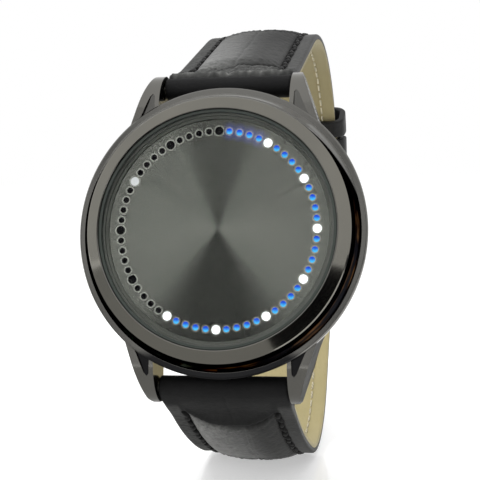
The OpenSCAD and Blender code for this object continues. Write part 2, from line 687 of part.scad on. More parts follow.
strap_half_t = (lining_t + leather_t) / 2;
frame_half = strap_end_w / 2 + frame_side_gap;
frame_outer = frame_half + frame_bar_w;
eye_wall = 1.15;
eye_r = buckle_tip_d / 2 + eye_wall;
bar_at = [buckle_bar[0], buckle_bar[1]];
rise_dir = [cos(rise), sin(rise)];
rise_out = [sin(rise), -cos(rise)];
rim_stand = tail_r + strap_half_t + thread_d + rim_gap + rim_d / 2;
bar_to_line = corner + rim_stand * rise_out - bar_at;
rim_back = bar_to_line * rise_dir + sqrt(pow(bar_to_line * rise_dir, 2) - bar_to_line * bar_to_line + frame_l * frame_l);
rim = bar_at + bar_to_line - rim_back * rise_dir;
chord = (rim - bar_at) / frame_l;
chord_angle = atan2(chord[1], chord[0]);
chord_out = [-chord[1], chord[0]];
frame_centre = (bar_at + rim) / 2 - sqrt(frame_r * frame_r - frame_l * frame_l / 4) * chord_out;
frame_from = atan2(rim[1] - frame_centre[1], rim[0] - frame_centre[0]);
frame_to = atan2(bar_at[1] - frame_centre[1], bar_at[0] - frame_centre[0]);

tang_up = chord_angle + tang_rise;
tang_lie = chord_angle - 16;
up_dir = [cos(tang_up), sin(tang_up)];
lie_dir = [cos(tang_lie), sin(tang_lie)];
lie_out = [-lie_dir[1], lie_dir[0]];
tang_over_rim = rim_d / 2 + tang_rest_gap + tang_d / 2;
up_l = (tang_over_rim - (bar_at - rim) * lie_out) / (up_dir * lie_out);
knuckle = bar_at + up_l * up_dir;
lie_l = (rim - knuckle) * lie_dir + tang_past;
tang_end = knuckle + lie_l * lie_dir;
bar_up = (bar_at - corner) * up_dir;
cross_l = -bar_up + sqrt(bar_up * bar_up - (bar_at - corner) * (bar_at - corner) + tail_r * tail_r);
tang_cross = bar_at + cross_l * up_dir;

hole_phi = atan2(tang_cross[1] - corner[1], tang_cross[0] - corner[0]);
hole_s = arc(long_r, long_turn) + arc(heel_r, rise - heel_start[2]) + rise_l + arc(tail_r, hole_phi + 90 - rise);
long_l = hole_s + tail_l;
long_parts = [[arc(long_r, long_turn), long_r, 1], [arc(heel_r, rise - heel_start[2]), heel_r, 1],
    [rise_l, 0, 0], [arc(tail_r, 180), tail_r, 1]];

// Strap section: widths, padding and the surfaces that follow them

layer = lining_t - strap_half_t;
lug_end_w = lug_gap - 2 * strap_side_gap;
buckle_fold_l = 5;
buckle_swell_l = 3.6;
edge_round = 0.4;
pad_crown = 0.65;
pad_least = 0.03;
roll_lap = 0.08;
pad_spots = [-0.85, -0.6, -0.3, 0, 0.3, 0.6, 0.85];

function mix(a, b, t) = a + (b - a) * t;
function ease(a, b, s) = let(t = min(1, max(0, (s - a) / (b - a)))) t * t * (3 - 2 * t);
function crown(u) = pow(max(0, 1 - u * u), pad_crown);
function short_half_w(s) = mix(lug_end_w, strap_end_w, s / short_l) / 2;
function long_half_w(s) = let(u = max(0, (s - long_l + point_l) / point_l))
    mix(lug_end_w, strap_end_w, s / long_l) / 2 * sqrt(max(0, 1 - 0.96 * u * u * u));
function lug_swell(s) = (lug_roll_r - roll_lap - strap_half_t) * (1 - ease(0, fold_l + 2 * pad_lead, s));
function buckle_swell(s) = (buckle_roll_r - roll_lap - strap_half_t) * ease(short_l - buckle_swell_l, short_l, s);
function pad_rise(s) = ease(fold_l - pad_lead, fold_l - pad_lead + pad_rise_l, s);
function short_pad(s) = pad_least + pad_rise(s) * mix(pad_h, pad_end_h, ease(short_full_l, short_l - short_thin_l, s))
    * (1 - ease(short_l - buckle_fold_l - pad_out_l, short_l - buckle_fold_l, s));
function long_pad(s) = pad_least + pad_rise(s) * pad_h * (1 - ease(long_full_l, long_pad_l + pad_rise_l / 2, s));

// Section of the top leather: half width, swell at the ends, padding height, and whether it folds under
function leather_ring(w, swell, pad, folded) = let(pw = max(w - border_w, w / 4), top = strap_half_t + swell,
        low = folded ? -top : layer + glue_gap, lift = folded ? -pad_least : pad)
    concat([[-w, top - edge_round], [-w + edge_round, top], [-pw, top]],
        [for (u = pad_spots) [u * pw, top + pad * crown(u)]],
        [[pw, top], [w - edge_round, top], [w, top - edge_round], [w, low], [pw, low]],
        [for (u = pad_spots) [-u * pw, low + lift * crown(u)]], [[-pw, low], [-w, low]]);

function lining_ring(w, swell) = [[-w, layer], [w, layer], [w, -strap_half_t - swell], [-w, -strap_half_t - swell]];

function padding_ring(w, pad) = let(pw = w - border_w, edge = pad_spots[len(pad_spots) - 1] * pw)
    concat([for (u = pad_spots) [u * pw, layer + pad * crown(u)]],
        [[edge, layer + 2 * glue_gap], [-edge, layer + 2 * glue_gap]]);

// Carries section points [across, outward] to the strap's line; side is 1 where outward is to its left
function carry(p, section, side) = [for (q = section)
    [q[0], p[0] - side * sin(p[2]) * q[1], p[1] + side * cos(p[2]) * q[1]]];

// Skins a list of rings with the same number of points
module skin(rings, side) {
    m = len(rings[0]);
    n = len(rings);
    points = [for (r = rings) each r];
    walls = [for (i = [0:n - 2]) for (j = [0:m - 1]) let(k = (j + 1) % m)
        side > 0 ? [i * m + k, i * m + j, (i + 1) * m + j, (i + 1) * m + k]
            : [i * m + j, i * m + k, (i + 1) * m + k, (i + 1) * m + j]];
    first = [for (j = [0:m - 1]) side > 0 ? j : m - 1 - j];
    last = [for (j = [0:m - 1]) (n - 1) * m + (side > 0 ? m - 1 - j : j)];
    polyhedron(points, concat(walls, [first, last]), convexity = 6);
}

function steps(from, to, n) = [for (i = [0:n]) mix(from, to, i / n)];

fold_step = 0.1;
short_run = steps(fold_l + fold_step, short_l - buckle_fold_l - fold_step, 24);
fold_run = [0, 0.31 * fold_l, 0.66 * fold_l, fold_l];
short_stations = concat(fold_run, short_run, [short_l - buckle_fold_l, short_l - buckle_fold_l / 2, short_l]);
long_run = steps(fold_l + fold_step, long_l - point_l, 32);
long_stations = concat(fold_run, long_run,
    [for (u = [0.35, 0.6, 0.78, 0.9, 1]) long_l - point_l + u * point_l]);

function short_at(s, section) = carry(along(short_start, short_parts, s), section, 1);
function long_at(s, section) = carry(along(long_start, long_parts, s), section, -1);

module at_short(s) let(p = along(short_start, short_parts, s)) translate([0, p[0], p[1]])
    rotate([p[2], 0, 0]) children();

module at_long(s) let(p = along(long_start, long_parts, s)) translate([0, p[0], p[1]])
    rotate([p[2], 0, 0]) mirror([0, 0, 1]) children();

module short_strap_leather() color(LEATHER) leaned() difference() {
    union() {
        skin([for (s = short_stations) short_at(s, leather_ring(short_half_w(s), lug_swell(s) + buckle_swell(s),
            short_pad(s), s <= fold_l || s >= short_l - buckle_fold_l))], 1);
        translate([0, bar_depth, bar_height]) rod_x(lug_roll_r, -lug_end_w / 2, lug_end_w / 2);
        translate([0, buckle_bar[0], buckle_bar[1]]) rod_x(buckle_roll_r, -strap_end_w / 2, strap_end_w / 2);
    }
    translate([0, bar_depth, bar_height]) rod_x(tube_d / 2 + run_gap, -lug_gap, lug_gap);
    translate([0, buckle_bar[0], buckle_bar[1]]) rod_x(buckle_tube_d / 2 + run_gap, -lug_gap, lug_gap);
    tang_slot();
}

cut_reach = 3;
module tang_slot() at_short(short_l) translate([-slot_w / 2, -slot_l, -cut_reach])
    cube([slot_w, slot_l + cut_reach, 2 * cut_reach]);

module short_strap_lining() color(LINING) leaned()
    skin([for (s = short_run) short_at(s, lining_ring(short_half_w(s), 0))], 1);

module short_strap_padding() color([0.8, 0.78, 0.72]) leaned()
    skin([for (s = short_run) if (s < short_l - buckle_fold_l - pad_out_l)
        short_at(s, padding_ring(short_half_w(s), short_pad(s)))], 1);

module long_strap_leather() color(LEATHER) leaned() difference() {
    union() {
        skin([for (s = long_stations)
            long_at(s, leather_ring(long_half_w(s), lug_swell(s), long_pad(s), s <= fold_l))], -1);
        translate([0, bar_depth, -bar_height]) rod_x(lug_roll_r, -lug_end_w / 2, lug_end_w / 2);
    }
    translate([0, bar_depth, -bar_height]) rod_x(tube_d / 2 + run_gap, -lug_gap, lug_gap);
    tang_holes();
}

module tang_holes() for (i = [0:hole_count - 1]) at_long(hole_s - i * hole_pitch)
    translate([0, 0, -cut_reach]) cylinder(r = hole_d / 2, h = 2 * cut_reach, $fn = 32);

module long_strap_lining() color(LINING) leaned() difference() {
    skin([for (s = long_stations) if (s > fold_l) long_at(s, lining_ring(long_half_w(s), 0))], -1);
    tang_holes();
}

module long_strap_padding() color([0.8, 0.78, 0.72]) leaned()
    skin([for (s = long_run) if (s < long_pad_l - pad_rise_l) long_at(s, padding_ring(long_half_w(s), long_pad(s)))], -1);

module stitch(half_w, top) for (side = [-1, 1])
    translate([side * (half_w - stitch_inset), -stitch_l / 2, top + thread_d / 2 + stitch_gap])
        rotate([-90, 0, 0]) cylinder(r = thread_d / 2, h = stitch_l, $fn = 16);

stitch_gap = 0.02;
stitch_start = fold_l + stitch_l / 2;
module short_strap_stitching() color(BLACK) leaned()
    for (s = [stitch_start:stitch_pitch:short_l - buckle_fold_l - stitch_l]) at_short(s)
        stitch(short_half_w(s), strap_half_t + lug_swell(s - stitch_l / 2));

module long_strap_stitching() color(BLACK) leaned()
    for (s = [stitch_start:stitch_pitch:long_l - point_l - stitch_l / 2]) at_long(s)
        stitch(long_half_w(s), strap_half_t + lug_swell(s - stitch_l / 2));

// Keepers: rounded leather loops that follow the buckle corner

// A ring sector about a centre in side view, from a profile of radius and width
module sector(centre, from, to) rotate([90, 0, 90]) translate([centre[0], centre[1], 0])
    rotate([0, 0, from]) rotate_extrude(angle = to - from, $fn = 120) children();

module rounded(low, high, r) {
    translate([low[0] + r, low[1]]) square([high[0] - low[0] - 2 * r, high[1] - low[1]]);
    translate([low[0], low[1] + r]) square([high[0] - low[0], high[1] - low[1] - 2 * r]);
    for (x = [low[0] + r, high[0] - r], y = [low[1] + r, high[1] - r]) translate([x, y]) circle(r, $fn = 32);
}

keeper_glue = 0.12;
keeper_high = tail_r + strap_half_t + thread_d + keeper_gap;
keeper_half = strap_end_w / 2 + keeper_side_gap;

module keeper(gap, from, to) let(low = corner_r - strap_half_t - gap) sector(corner, from, to) difference() {
    rounded([low - keeper_t, -keeper_half - keeper_t], [keeper_high + keeper_t, keeper_half + keeper_t], keeper_round);
    translate([low, -keeper_half]) square([keeper_high - low, 2 * keeper_half]);
}

fixed_from = bar_phi + fixed_keeper_from;
free_from = fixed_from + fixed_keeper_span + keeper_spacing;

module fixed_keeper() color(LEATHER) leaned()
    keeper(keeper_glue, fixed_from, fixed_from + fixed_keeper_span);

module free_keeper() color(LEATHER) leaned()
    keeper(keeper_gap, free_from, free_from + free_keeper_span);

// Buckle: curved frame and tang on the buckle bar

module buckle_frame() color(STEEL) leaned() difference() {
    intersection() {
        union() {
            for (across = [0, 1]) mirror([across, 0, 0]) {
                sector(frame_centre, frame_from, frame_to)
                    translate([frame_r - frame_t / 2, frame_half]) square([frame_t, frame_bar_w]);
                translate([0, bar_at[0], bar_at[1]]) rod_x(eye_r, frame_half, frame_outer);
            }
            translate([0, rim[0], rim[1]]) rod_x(rim_d / 2, -frame_outer, frame_outer);
        }
        translate([0, bar_at[0], bar_at[1]]) rotate([chord_angle, 0, 0]) translate([0, -eye_r, -frame_r])
            linear_extrude(2 * frame_r) rounded([-frame_outer - seat_gap, -frame_round],
                [frame_outer + seat_gap, frame_l + eye_r + rim_d / 2 + 2 * seat_gap], frame_round);
    }
    for (across = [0, 1]) mirror([across, 0, 0]) translate([0, bar_at[0], bar_at[1]])
        rod_x(buckle_tip_d / 2 + run_gap, frame_half - over, frame_half + tip_l);
}

module finger(from, dir, l) translate([0, from[0], from[1]]) rotate([atan2(dir[1], dir[0]), 0, 0])
    rotate([-90, 0, 0]) cylinder(r = tang_d / 2, h = l, $fn = 48);

module buckle_tang() color(STEEL) leaned() difference() {
    union() {
        translate([0, bar_at[0], bar_at[1]])
            rod_x(buckle_tube_d / 2 + run_gap + tang_d / 2, -tang_loop_w / 2, tang_loop_w / 2);
        finger(bar_at, up_dir, up_l);
        translate([0, knuckle[0], knuckle[1]]) sphere(tang_knuckle_d / 2, $fn = 48);
        finger(knuckle, lie_dir, lie_l);
        translate([0, tang_end[0], tang_end[1]]) sphere(tang_d / 2 - run_gap, $fn = 48);
    }
    translate([0, bar_at[0], bar_at[1]]) rod_x(buckle_tube_d / 2 + run_gap, -lug_gap, lug_gap);
}

case_middle();
bezel();
crystal();
crystal_gasket();
inner_ring();
dial_plate();
hour_windows();
minute_windows();
touch_film();
light_mask();
circuit_board();
hour_leds();
minute_leds();
controller_chip();
quartz_can();
capacitors();
works_holder();
battery_contact();
front_cell();
rear_cell();
battery_clip();
clip_screws();
case_back_seal();
case_back();
case_back_screws();
upper_bar_tube();
upper_bar_left_tip();
upper_bar_right_tip();
upper_bar_spring();
lower_bar_tube();
lower_bar_left_tip();
lower_bar_right_tip();
lower_bar_spring();
short_strap_leather();
short_strap_padding();
short_strap_lining();
short_strap_stitching();
long_strap_leather();
long_strap_padding();
long_strap_lining();
long_strap_stitching();
fixed_keeper();
free_keeper();
buckle_bar_tube();
buckle_bar_left_tip();
buckle_bar_right_tip();
buckle_bar_spring();
buckle_frame();
buckle_tang();
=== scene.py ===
import json
import math
import bpy
import bmesh
from mathutils import Matrix, Vector, noise

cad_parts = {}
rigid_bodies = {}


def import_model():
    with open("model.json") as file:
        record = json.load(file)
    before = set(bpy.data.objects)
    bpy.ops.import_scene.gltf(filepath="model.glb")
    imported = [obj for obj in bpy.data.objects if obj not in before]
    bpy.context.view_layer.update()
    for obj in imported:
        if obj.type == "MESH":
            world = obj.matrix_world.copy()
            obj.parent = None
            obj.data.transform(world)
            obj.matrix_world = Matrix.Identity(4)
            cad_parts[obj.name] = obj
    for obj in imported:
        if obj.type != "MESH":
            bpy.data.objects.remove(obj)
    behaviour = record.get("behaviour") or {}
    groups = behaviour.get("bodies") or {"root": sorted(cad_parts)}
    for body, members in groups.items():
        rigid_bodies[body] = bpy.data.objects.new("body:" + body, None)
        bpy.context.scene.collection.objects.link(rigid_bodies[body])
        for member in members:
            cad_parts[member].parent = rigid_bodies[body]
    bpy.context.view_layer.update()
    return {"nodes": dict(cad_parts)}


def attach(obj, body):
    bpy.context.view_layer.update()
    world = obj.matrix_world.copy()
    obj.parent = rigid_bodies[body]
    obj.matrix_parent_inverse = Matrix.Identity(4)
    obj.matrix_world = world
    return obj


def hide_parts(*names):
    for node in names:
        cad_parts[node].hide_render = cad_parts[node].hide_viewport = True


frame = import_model()
nodes = frame["nodes"]

MM = 0.001
LEAN = math.radians(12)
BACK_D = 9.6
HOUR_R = 16.1 * MM
# The bench is the dial's own frame: X to 3 o'clock, Y to 12 o'clock and Z out of the dial.
BENCH_TO_WATCH = Matrix((
    (1, 0, 0, 0),
    (0, math.sin(LEAN), -math.cos(LEAN), -BACK_D * math.cos(LEAN) * MM),
    (0, math.cos(LEAN), math.sin(LEAN), BACK_D * math.sin(LEAN) * MM),
    (0, 0, 0, 1)))


# Shader expressions

def operator(operation, swapped=False):
    """A method of Value that adds a Math node."""
    def act(value, other):
        pair = (other, value) if swapped else (value, other)
        return value.finish.maths(operation, *pair)
    return act


class Value:
    """A socket in a finish. Arithmetic on it adds Math nodes."""

    def __init__(self, finish, socket):
        self.finish = finish
        self.socket = socket

    __add__ = __radd__ = operator("ADD")
    __sub__ = operator("SUBTRACT")
    __rsub__ = operator("SUBTRACT", swapped=True)
    __mul__ = __rmul__ = operator("MULTIPLY")
    __truediv__ = operator("DIVIDE")
    __rtruediv__ = operator("DIVIDE", swapped=True)
    above = operator("GREATER_THAN")
    below = operator("LESS_THAN")

    def maths(self, operation, *others):
        return self.finish.maths(operation, self, *others)

    def step(self, start, end):
        """A soft step from 0 at start to 1 at end, which may be the lower number."""
        return self.finish.node("ShaderNodeMapRange", {"interpolation_type": "SMOOTHSTEP"},
                                {"Value": self, "From Min": start, "From Max": end}, "Result")


class Finish:
    """One procedural material, built from expressions."""

    def __init__(self, name, **constants):
        self.material = bpy.data.materials.new(name)
        self.material.use_nodes = True
        self.tree = self.material.node_tree
        self.shader = self.tree.nodes["Principled BSDF"]
        self.wear(**constants)

    def wear(self, **entries):
        for socket, entry in entries.items():
            self.feed(self.shader.inputs[socket.replace("_", " ")], entry)
        return self.material

    def feed(self, socket, entry):
        if isinstance(entry, Value):
            self.tree.links.new(entry.socket, socket)
        else:
            socket.default_value = entry

    def node(self, kind, settings, sockets, result=0):
        made = self.tree.nodes.new(kind)
        for setting, choice in settings.items():
            setattr(made, setting, choice)
        for socket, entry in sockets.items():
            self.feed(made.inputs[socket], entry)
        return Value(self, made.outputs[result])

    def maths(self, operation, *entries):
        return self.node("ShaderNodeMath", {"operation": operation}, dict(enumerate(entries)))

    def vector(self, operation, *entries):
        return self.node("ShaderNodeVectorMath", {"operation": operation}, dict(enumerate(entries)))

    def scaled(self, vector, amount):
        return self.node("ShaderNodeVectorMath", {"operation": "SCALE"}, {0: vector, 3: amount})

    def mix(self, factor, first, second):
        first, second = ((*entry, 1) if isinstance(entry, tuple) else entry for entry in (first, second))
        return self.node("ShaderNodeMix", {"data_type": "RGBA"}, {0: factor, 6: first, 7: second}, 2)

    def shades(self, factor, colour, low, high):
        """The colour, between low and high times its strength."""
        return self.mix(factor, tuple(c * low for c in colour), tuple(min(1, c * high) for c in colour))

    def place(self, stretch=None):
        spot = self.node("ShaderNodeTexCoord", {}, {}, "Object")
        return self.vector("MULTIPLY", spot, stretch) if stretch else spot

    def attribute(self, name):
        return self.node("ShaderNodeAttribute", {"attribute_name": name}, {}, "Vector")

    def split(self, vector):
        made = self.node("ShaderNodeSeparateXYZ", {}, {0: vector}).socket.node
        return [Value(self, output) for output in made.outputs]

    def join(self, x, y, z):
        return self.node("ShaderNodeCombineXYZ", {}, {0: x, 1: y, 2: z})

    def noise(self, vector, scale, detail=3.0, roughness=0.5):
        return self.node("ShaderNodeTexNoise", {}, {"Vector": vector, "Scale": scale, "Detail": detail,
                                                    "Roughness": roughness}, "Fac")

    def cells(self, vector, scale, feature="F1"):
        return self.node("ShaderNodeTexVoronoi", {"feature": feature}, {"Vector": vector, "Scale": scale},
                         "Distance")

    def bump(self, height, depth):
        """Depth is in metres, for a height from 0 to 1."""
        return self.node("ShaderNodeBump", {}, {"Height": height, "Distance": depth}, "Normal")

    def blend(self, factor, first, second):
        """Ends the finish in a mix of two shaders."""
        mixed = self.node("ShaderNodeMixShader", {}, {0: factor, 1: first, 2: second})
        self.feed(self.tree.nodes["Material Output"].inputs["Surface"], mixed)
        return self.material


def dial_axes(finish):
    """Place on the dial: x to 3 o'clock, up to 12 o'clock, and depth behind the dial's face, in metres."""
    x, y, z = finish.split(finish.place())
    up = y * math.sin(LEAN) + z * math.cos(LEAN)
    depth = y * math.cos(LEAN) - z * math.sin(LEAN) + BACK_D * MM
    return x, up, depth


def length_of(x, up):
    return (x * x + up * up + 1e-9).maths("SQRT")


# Finishes

def polished_steel(name, colour, roughness, warm=0.0):
    """Polished dark steel: even reflections, a breath of fine wiping marks and cloudy smudges."""
    finish = Finish(name, Metallic=1.0, IOR=2.4)
    cloud = finish.noise(finish.place(), 90, 4, 0.55)
    wipes = finish.noise(finish.place((400.0, 4000.0, 900.0)), 1.0, 3, 0.6)
    tint = tuple(min(1, c * (1.12 + warm * k)) for c, k in zip(colour, (1, 0.7, 0.2)))
    return finish.wear(
        Base_Color=finish.mix(cloud, tuple(c * 0.88 for c in colour), tint),
        Roughness=roughness + 0.05 * cloud + 0.04 * wipes,
        Normal=finish.bump(wipes, 0.0003 * MM))


def dial_face():
    """The dial: brushed in rays, each hair line tilting the light to one side of its ray, with pale
    countersunk rims round the lamp holes, painted shade in wedges at 12 and 6 o'clock, and a painted blue
    glow beside the first lamps that stands in for their light spilt on the dial."""
    finish = Finish("dial_metal_finish", Metallic=1.0, Emission_Strength=1.0)
    x, up, depth = dial_axes(finish)
    reach = length_of(x, up)
    across = x / reach
    along = up / reach
    hair = finish.noise(finish.join(across, along, reach * 0.6), 300, 6, 0.8)
    glint = finish.noise(finish.join(across, along, reach * 2.0), 900, 3, 0.8)
    broad = finish.noise(finish.join(across, along, reach * 0.3), 16)
    tilt = (0.55 * hair + 0.37 * glint + 0.08 * broad - 0.5) * 2.7
    side = finish.join(along, across * (-math.sin(LEAN)), across * (-math.cos(LEAN)))
    face = finish.node("ShaderNodeNewGeometry", {}, {}, "Normal")
    leaning = finish.vector("NORMALIZE", finish.vector("ADD", face, finish.scaled(side, tilt)))
    clock = (finish.maths("ARCTAN2", x, up) / math.tau + 1.0).maths("FRACT") * 60
    minute = clock.maths("ROUND")
    hour = (minute / 5 - (minute / 5).maths("ROUND")).maths("ABSOLUTE").below(0.05)
    turn = minute / 60 * math.tau
    off_x = x - turn.maths("SINE") * HOUR_R
    off_up = up - turn.maths("COSINE") * HOUR_R
    gap = (off_x * off_x + off_up * off_up).maths("SQRT") - 0.52 * MM - 0.22 * MM * hour
    rim = gap.step(0.26 * MM, 0.12 * MM)
    # Painted light: the dial glows blue round the windows of about the first four minutes, standing in for the
    # lamps' spilt light.
    painted_blue_glow = clock.step(0.2, 1.1) * clock.step(5.0, 4.0) * gap.step(1.3 * MM, 0.0)
    # Painted shade: the base colour darkens in a wide wedge at 6 o'clock and a fainter one at 12, standing in
    # for the brushing's dark reflections there.
    shaded = 0.64 * along.step(-0.68, -0.97) + 0.40 * along.step(0.88, 1.0)
    plain = finish.mix(hair, (0.182, 0.184, 0.171), (0.238, 0.240, 0.224))
    plain = finish.mix(shaded, plain, (0, 0, 0))
    return finish.wear(
        Base_Color=finish.mix(rim, plain, (0.44, 0.44, 0.42)),
        Roughness=0.20 + 0.06 * glint,
        Emission_Color=finish.mix(painted_blue_glow * 0.5, (0, 0, 0), (0.03, 0.04, 0.26)),
        Normal=leaning)


def bezel_wall_with_painted_reflections():
    """The bezel's outer wall: black polish that is partly a painted dark reflection, with painted reflections
    of warm brown streaks and pale glints, and steel grey again near the top, a painted light reflection.
    """
    finish = Finish("bezel_wall_finish", Metallic=1.0, Specular_Tint=(0.05, 0.05, 0.05, 1))
    x, up, depth = dial_axes(finish)
    clock = finish.maths("ARCTAN2", x, up)
    streak = finish.noise(finish.join(clock * 2.2, depth * 900.0, 0.0), 1.0, 4, 0.6)
    # Painted glints: pale greenish reflections low on the wall's left.
    painted_glint = finish.noise(finish.join(clock * 6.0, depth * 700.0, 3.0), 1.0, 4, 0.6)
    painted_glint = painted_glint.step(0.50, 0.62) * x.step(-2 * MM, -7 * MM) * up.step(-9 * MM, -13 * MM)
    middle = depth.step(0.2 * MM, 1.0 * MM) * depth.step(2.3 * MM, 1.6 * MM)
    # Painted reflection: warm brown streaks in the middle of the wall's depth.
    brown = streak.step(0.50, 0.66) * middle
    cloud = finish.noise(finish.place(), 160)
    # The black is the wall's polish and partly a painted dark reflection.
    dark = finish.mix(cloud, (0.014, 0.014, 0.015), (0.024, 0.024, 0.026))
    dark = finish.mix(brown, dark, (0.105, 0.062, 0.036))
    dark = finish.mix(painted_glint, dark, (0.120, 0.135, 0.122))
    # Painted light: towards the top the wall turns a non-metallic steel grey, standing in for the lighter
    # surroundings it mirrors there.
    light = (up + 3.85 * depth).step(13.6 * MM, 15.3 * MM)
    return finish.wear(
        Base_Color=finish.mix(light, dark, (0.115, 0.113, 0.105)),
        Roughness=0.10 + 0.06 * cloud,
        Metallic=1.0 - light)


def case_edge_with_painted_shade():
    """The case's rim: dark steel, with painted shade that turns it black under 6 o'clock, standing in for the
    dark it mirrors there.
    """
    finish = Finish("case_edge_finish", Metallic=1.0)
    x, up, depth = dial_axes(finish)
    cloud = finish.noise(finish.place(), 120)
    # Painted shade: the rim goes black towards the bottom.
    black = (up + 3 * MM * cloud).step(-17.4 * MM, -19.2 * MM)
    steel = finish.mix(cloud, (0.140, 0.137, 0.128), (0.172, 0.169, 0.158))
    return finish.wear(
        Base_Color=finish.mix(black, steel, (0.020, 0.020, 0.021)),
        Roughness=0.12 + 0.06 * cloud)


def turned_steel(name, colour, roughness):
    """Metal with fine rings from the lathe."""
    finish = Finish(name, Metallic=1.0)
    x, up, depth = dial_axes(finish)
    rings = finish.noise(finish.join(length_of(x, up), depth, 0.0), 5200, 3, 0.7)
    cloud = finish.noise(finish.place(), 120)
    return finish.wear(
        Base_Color=finish.shades(cloud, colour, 0.85, 1.1),
        Roughness=roughness + 0.08 * rings,
        Normal=finish.bump(rings, 0.003 * MM))


def plain_metal(name, colour, roughness):
    """Small steel and plated parts: faint draw marks and smudges."""
    finish = Finish(name, Metallic=1.0)
    cloud = finish.noise(finish.place(), 300, 3, 0.6)
    marks = finish.noise(finish.place((600.0, 5000.0, 5000.0)), 1.0, 2, 0.5)
    return finish.wear(
        Base_Color=finish.shades(cloud, colour, 0.8, 1.1),
        Roughness=roughness + 0.12 * cloud,
        Normal=finish.bump(marks, 0.002 * MM))


def moulded(name, colour, roughness, grain=2200.0, **constants):
    """Moulded plastic or rubber with a fine spark-eroded grain."""
    finish = Finish(name, **constants)
    place = finish.place()
    pits = finish.noise(place, grain, 3, 0.6)
    cloud = finish.noise(place, 160)
    return finish.wear(
        Base_Color=finish.shades(cloud, colour, 0.82, 1.15),
        Roughness=roughness + 0.15 * pits,
        Normal=finish.bump(pits, 0.01 * MM))


def circuit_green():
    """Board with lacquered tracks."""
    finish = Finish("board_finish", Coat_Weight=0.3)
    place = finish.place()
    tracks = finish.cells(place, 700, "DISTANCE_TO_EDGE").step(0.0, 0.12)
    cloud = finish.noise(place, 500, 2, 0.5)
    lacquer = finish.mix(cloud, (0.01, 0.06, 0.025), (0.015, 0.08, 0.03))
    return finish.wear(
        Base_Color=finish.mix(tracks, (0.05, 0.16, 0.07), lacquer),
        Roughness=0.35 + 0.2 * cloud,
        Normal=finish.bump(tracks, 0.02 * MM))


def clear_cover(name, tint, shine):
    """Glass or film: clear, with a mirror whose strength follows the angle."""
    finish = Finish(name)
    finish.tree.nodes.remove(finish.shader)
    clear = finish.node("ShaderNodeBsdfTransparent", {}, {"Color": (*tint, 1)})
    mirror = finish.node("ShaderNodeBsdfGlossy", {}, {"Color": (1, 1, 1, 1), "Roughness": 0.04})
    smudge = finish.noise(finish.place(), 140)
    rim = finish.node("ShaderNodeFresnel", {}, {"IOR": 1.3})
    return finish.blend(rim * (shine * (0.85 + 0.3 * smudge)), clear, mirror)


def lamp_windows(name, kind):
    """Clear lamp windows. Which of them glow goes by the clock: ten hours past and the 35th minute."""
    finish = Finish(name, Roughness=0.3, Specular_IOR_Level=0.04, Emission_Strength=1.0)
    x, up, depth = dial_axes(finish)
    clock = (finish.maths("ARCTAN2", x, up) / math.tau + 1.0).maths("FRACT")
    cloud = 0.85 + 0.15 * finish.noise(finish.place(), 900, 2, 0.5)
    unlit = (0.004, 0.004, 0.005)
    if kind == "hours":
        hour = (clock * 12).maths("ROUND")
        lit = hour.above(0.5) * hour.below(7.5)
        dim = hour.above(9.5) * hour.below(10.5)
        colour = finish.mix(lit + dim * 0.2, unlit, (0.93, 0.95, 1.0))
        glow = ((lit * 1.15 + dim * 0.6) * cloud).maths("MINIMUM", 1.0)
        light = finish.mix(glow, (0, 0, 0), (0.95, 0.97, 1.0))
    else:
        minute = (clock * 60).maths("ROUND")
        lit = minute.below(34.5)
        # The blue lamps shine from the board below, so each window is cyan where it is nearest its lamp.
        offset = (minute / 60 * math.tau).maths("COSINE") * HOUR_R
        low = ((offset - up) / (0.5 * MM)).step(-0.6, 0.7)
        colour = finish.mix(lit, unlit, (0.02, 0.05, 0.12))
        light = finish.mix(lit * cloud, (0, 0, 0), finish.mix(low, (0.0, 0.040, 0.72), (0.07, 0.56, 1.0)))
    return finish.wear(Base_Color=colour, Emission_Color=light)


def leather(name, colour, cloudy, roughness):
    """Dyed leather with fine pores and creases. The strap's fields say where it is glazed, stitched or
    folded: its colour carries painted sheen and highlights where glazed, and painted shade in stitch channels
    and folds."""
    finish = Finish(name, IOR=1.5, Specular_IOR_Level=0.2, Coat_Roughness=0.25)
    place = finish.place()
    grain = finish.cells(place, 2600)
    crease = finish.noise(place, 900, 5, 0.65)
    cloud = finish.noise(place, 130, 4, 0.6)
    glaze_and_painted_sheen, stitch, fold = finish.split(finish.attribute("strap_fields"))
    sheen_mottle = finish.noise(finish.place((1300.0, 600.0, 900.0)), 1.0, 5, 0.75)
    # Painted sheen: the base colour is lighter and mottled where glazed, with a paler painted highlight where
    # this runs over 1.
    painted_mottled_sheen = glaze_and_painted_sheen * (0.45 + 0.2 * cloud.step(0.28, 0.72) + 0.35 * sheen_mottle.step(0.30, 0.70))
    # Painted shade: the base colour goes nearly black in the stitch channels and in the folds at the joints.
    hollow = stitch.maths("MAXIMUM", fold)
    base = finish.mix(cloud, colour, cloudy)
    base = finish.mix(painted_mottled_sheen, base, (0.062, 0.063, 0.060))
    base = finish.mix(painted_mottled_sheen - 1.0, base, (0.21, 0.21, 0.20))
    return finish.wear(
        Base_Color=finish.mix(hollow * 0.92, base, (0.001, 0.001, 0.001)),
        Roughness=roughness - 0.34 * glaze_and_painted_sheen.maths("MINIMUM", 1.0) + 0.10 * crease + 0.2 * hollow,
        Coat_Weight=0.20 * painted_mottled_sheen.maths("MINIMUM", 1.0),
        Normal=finish.bump(0.45 * grain + 0.55 * crease, 0.07 * MM))


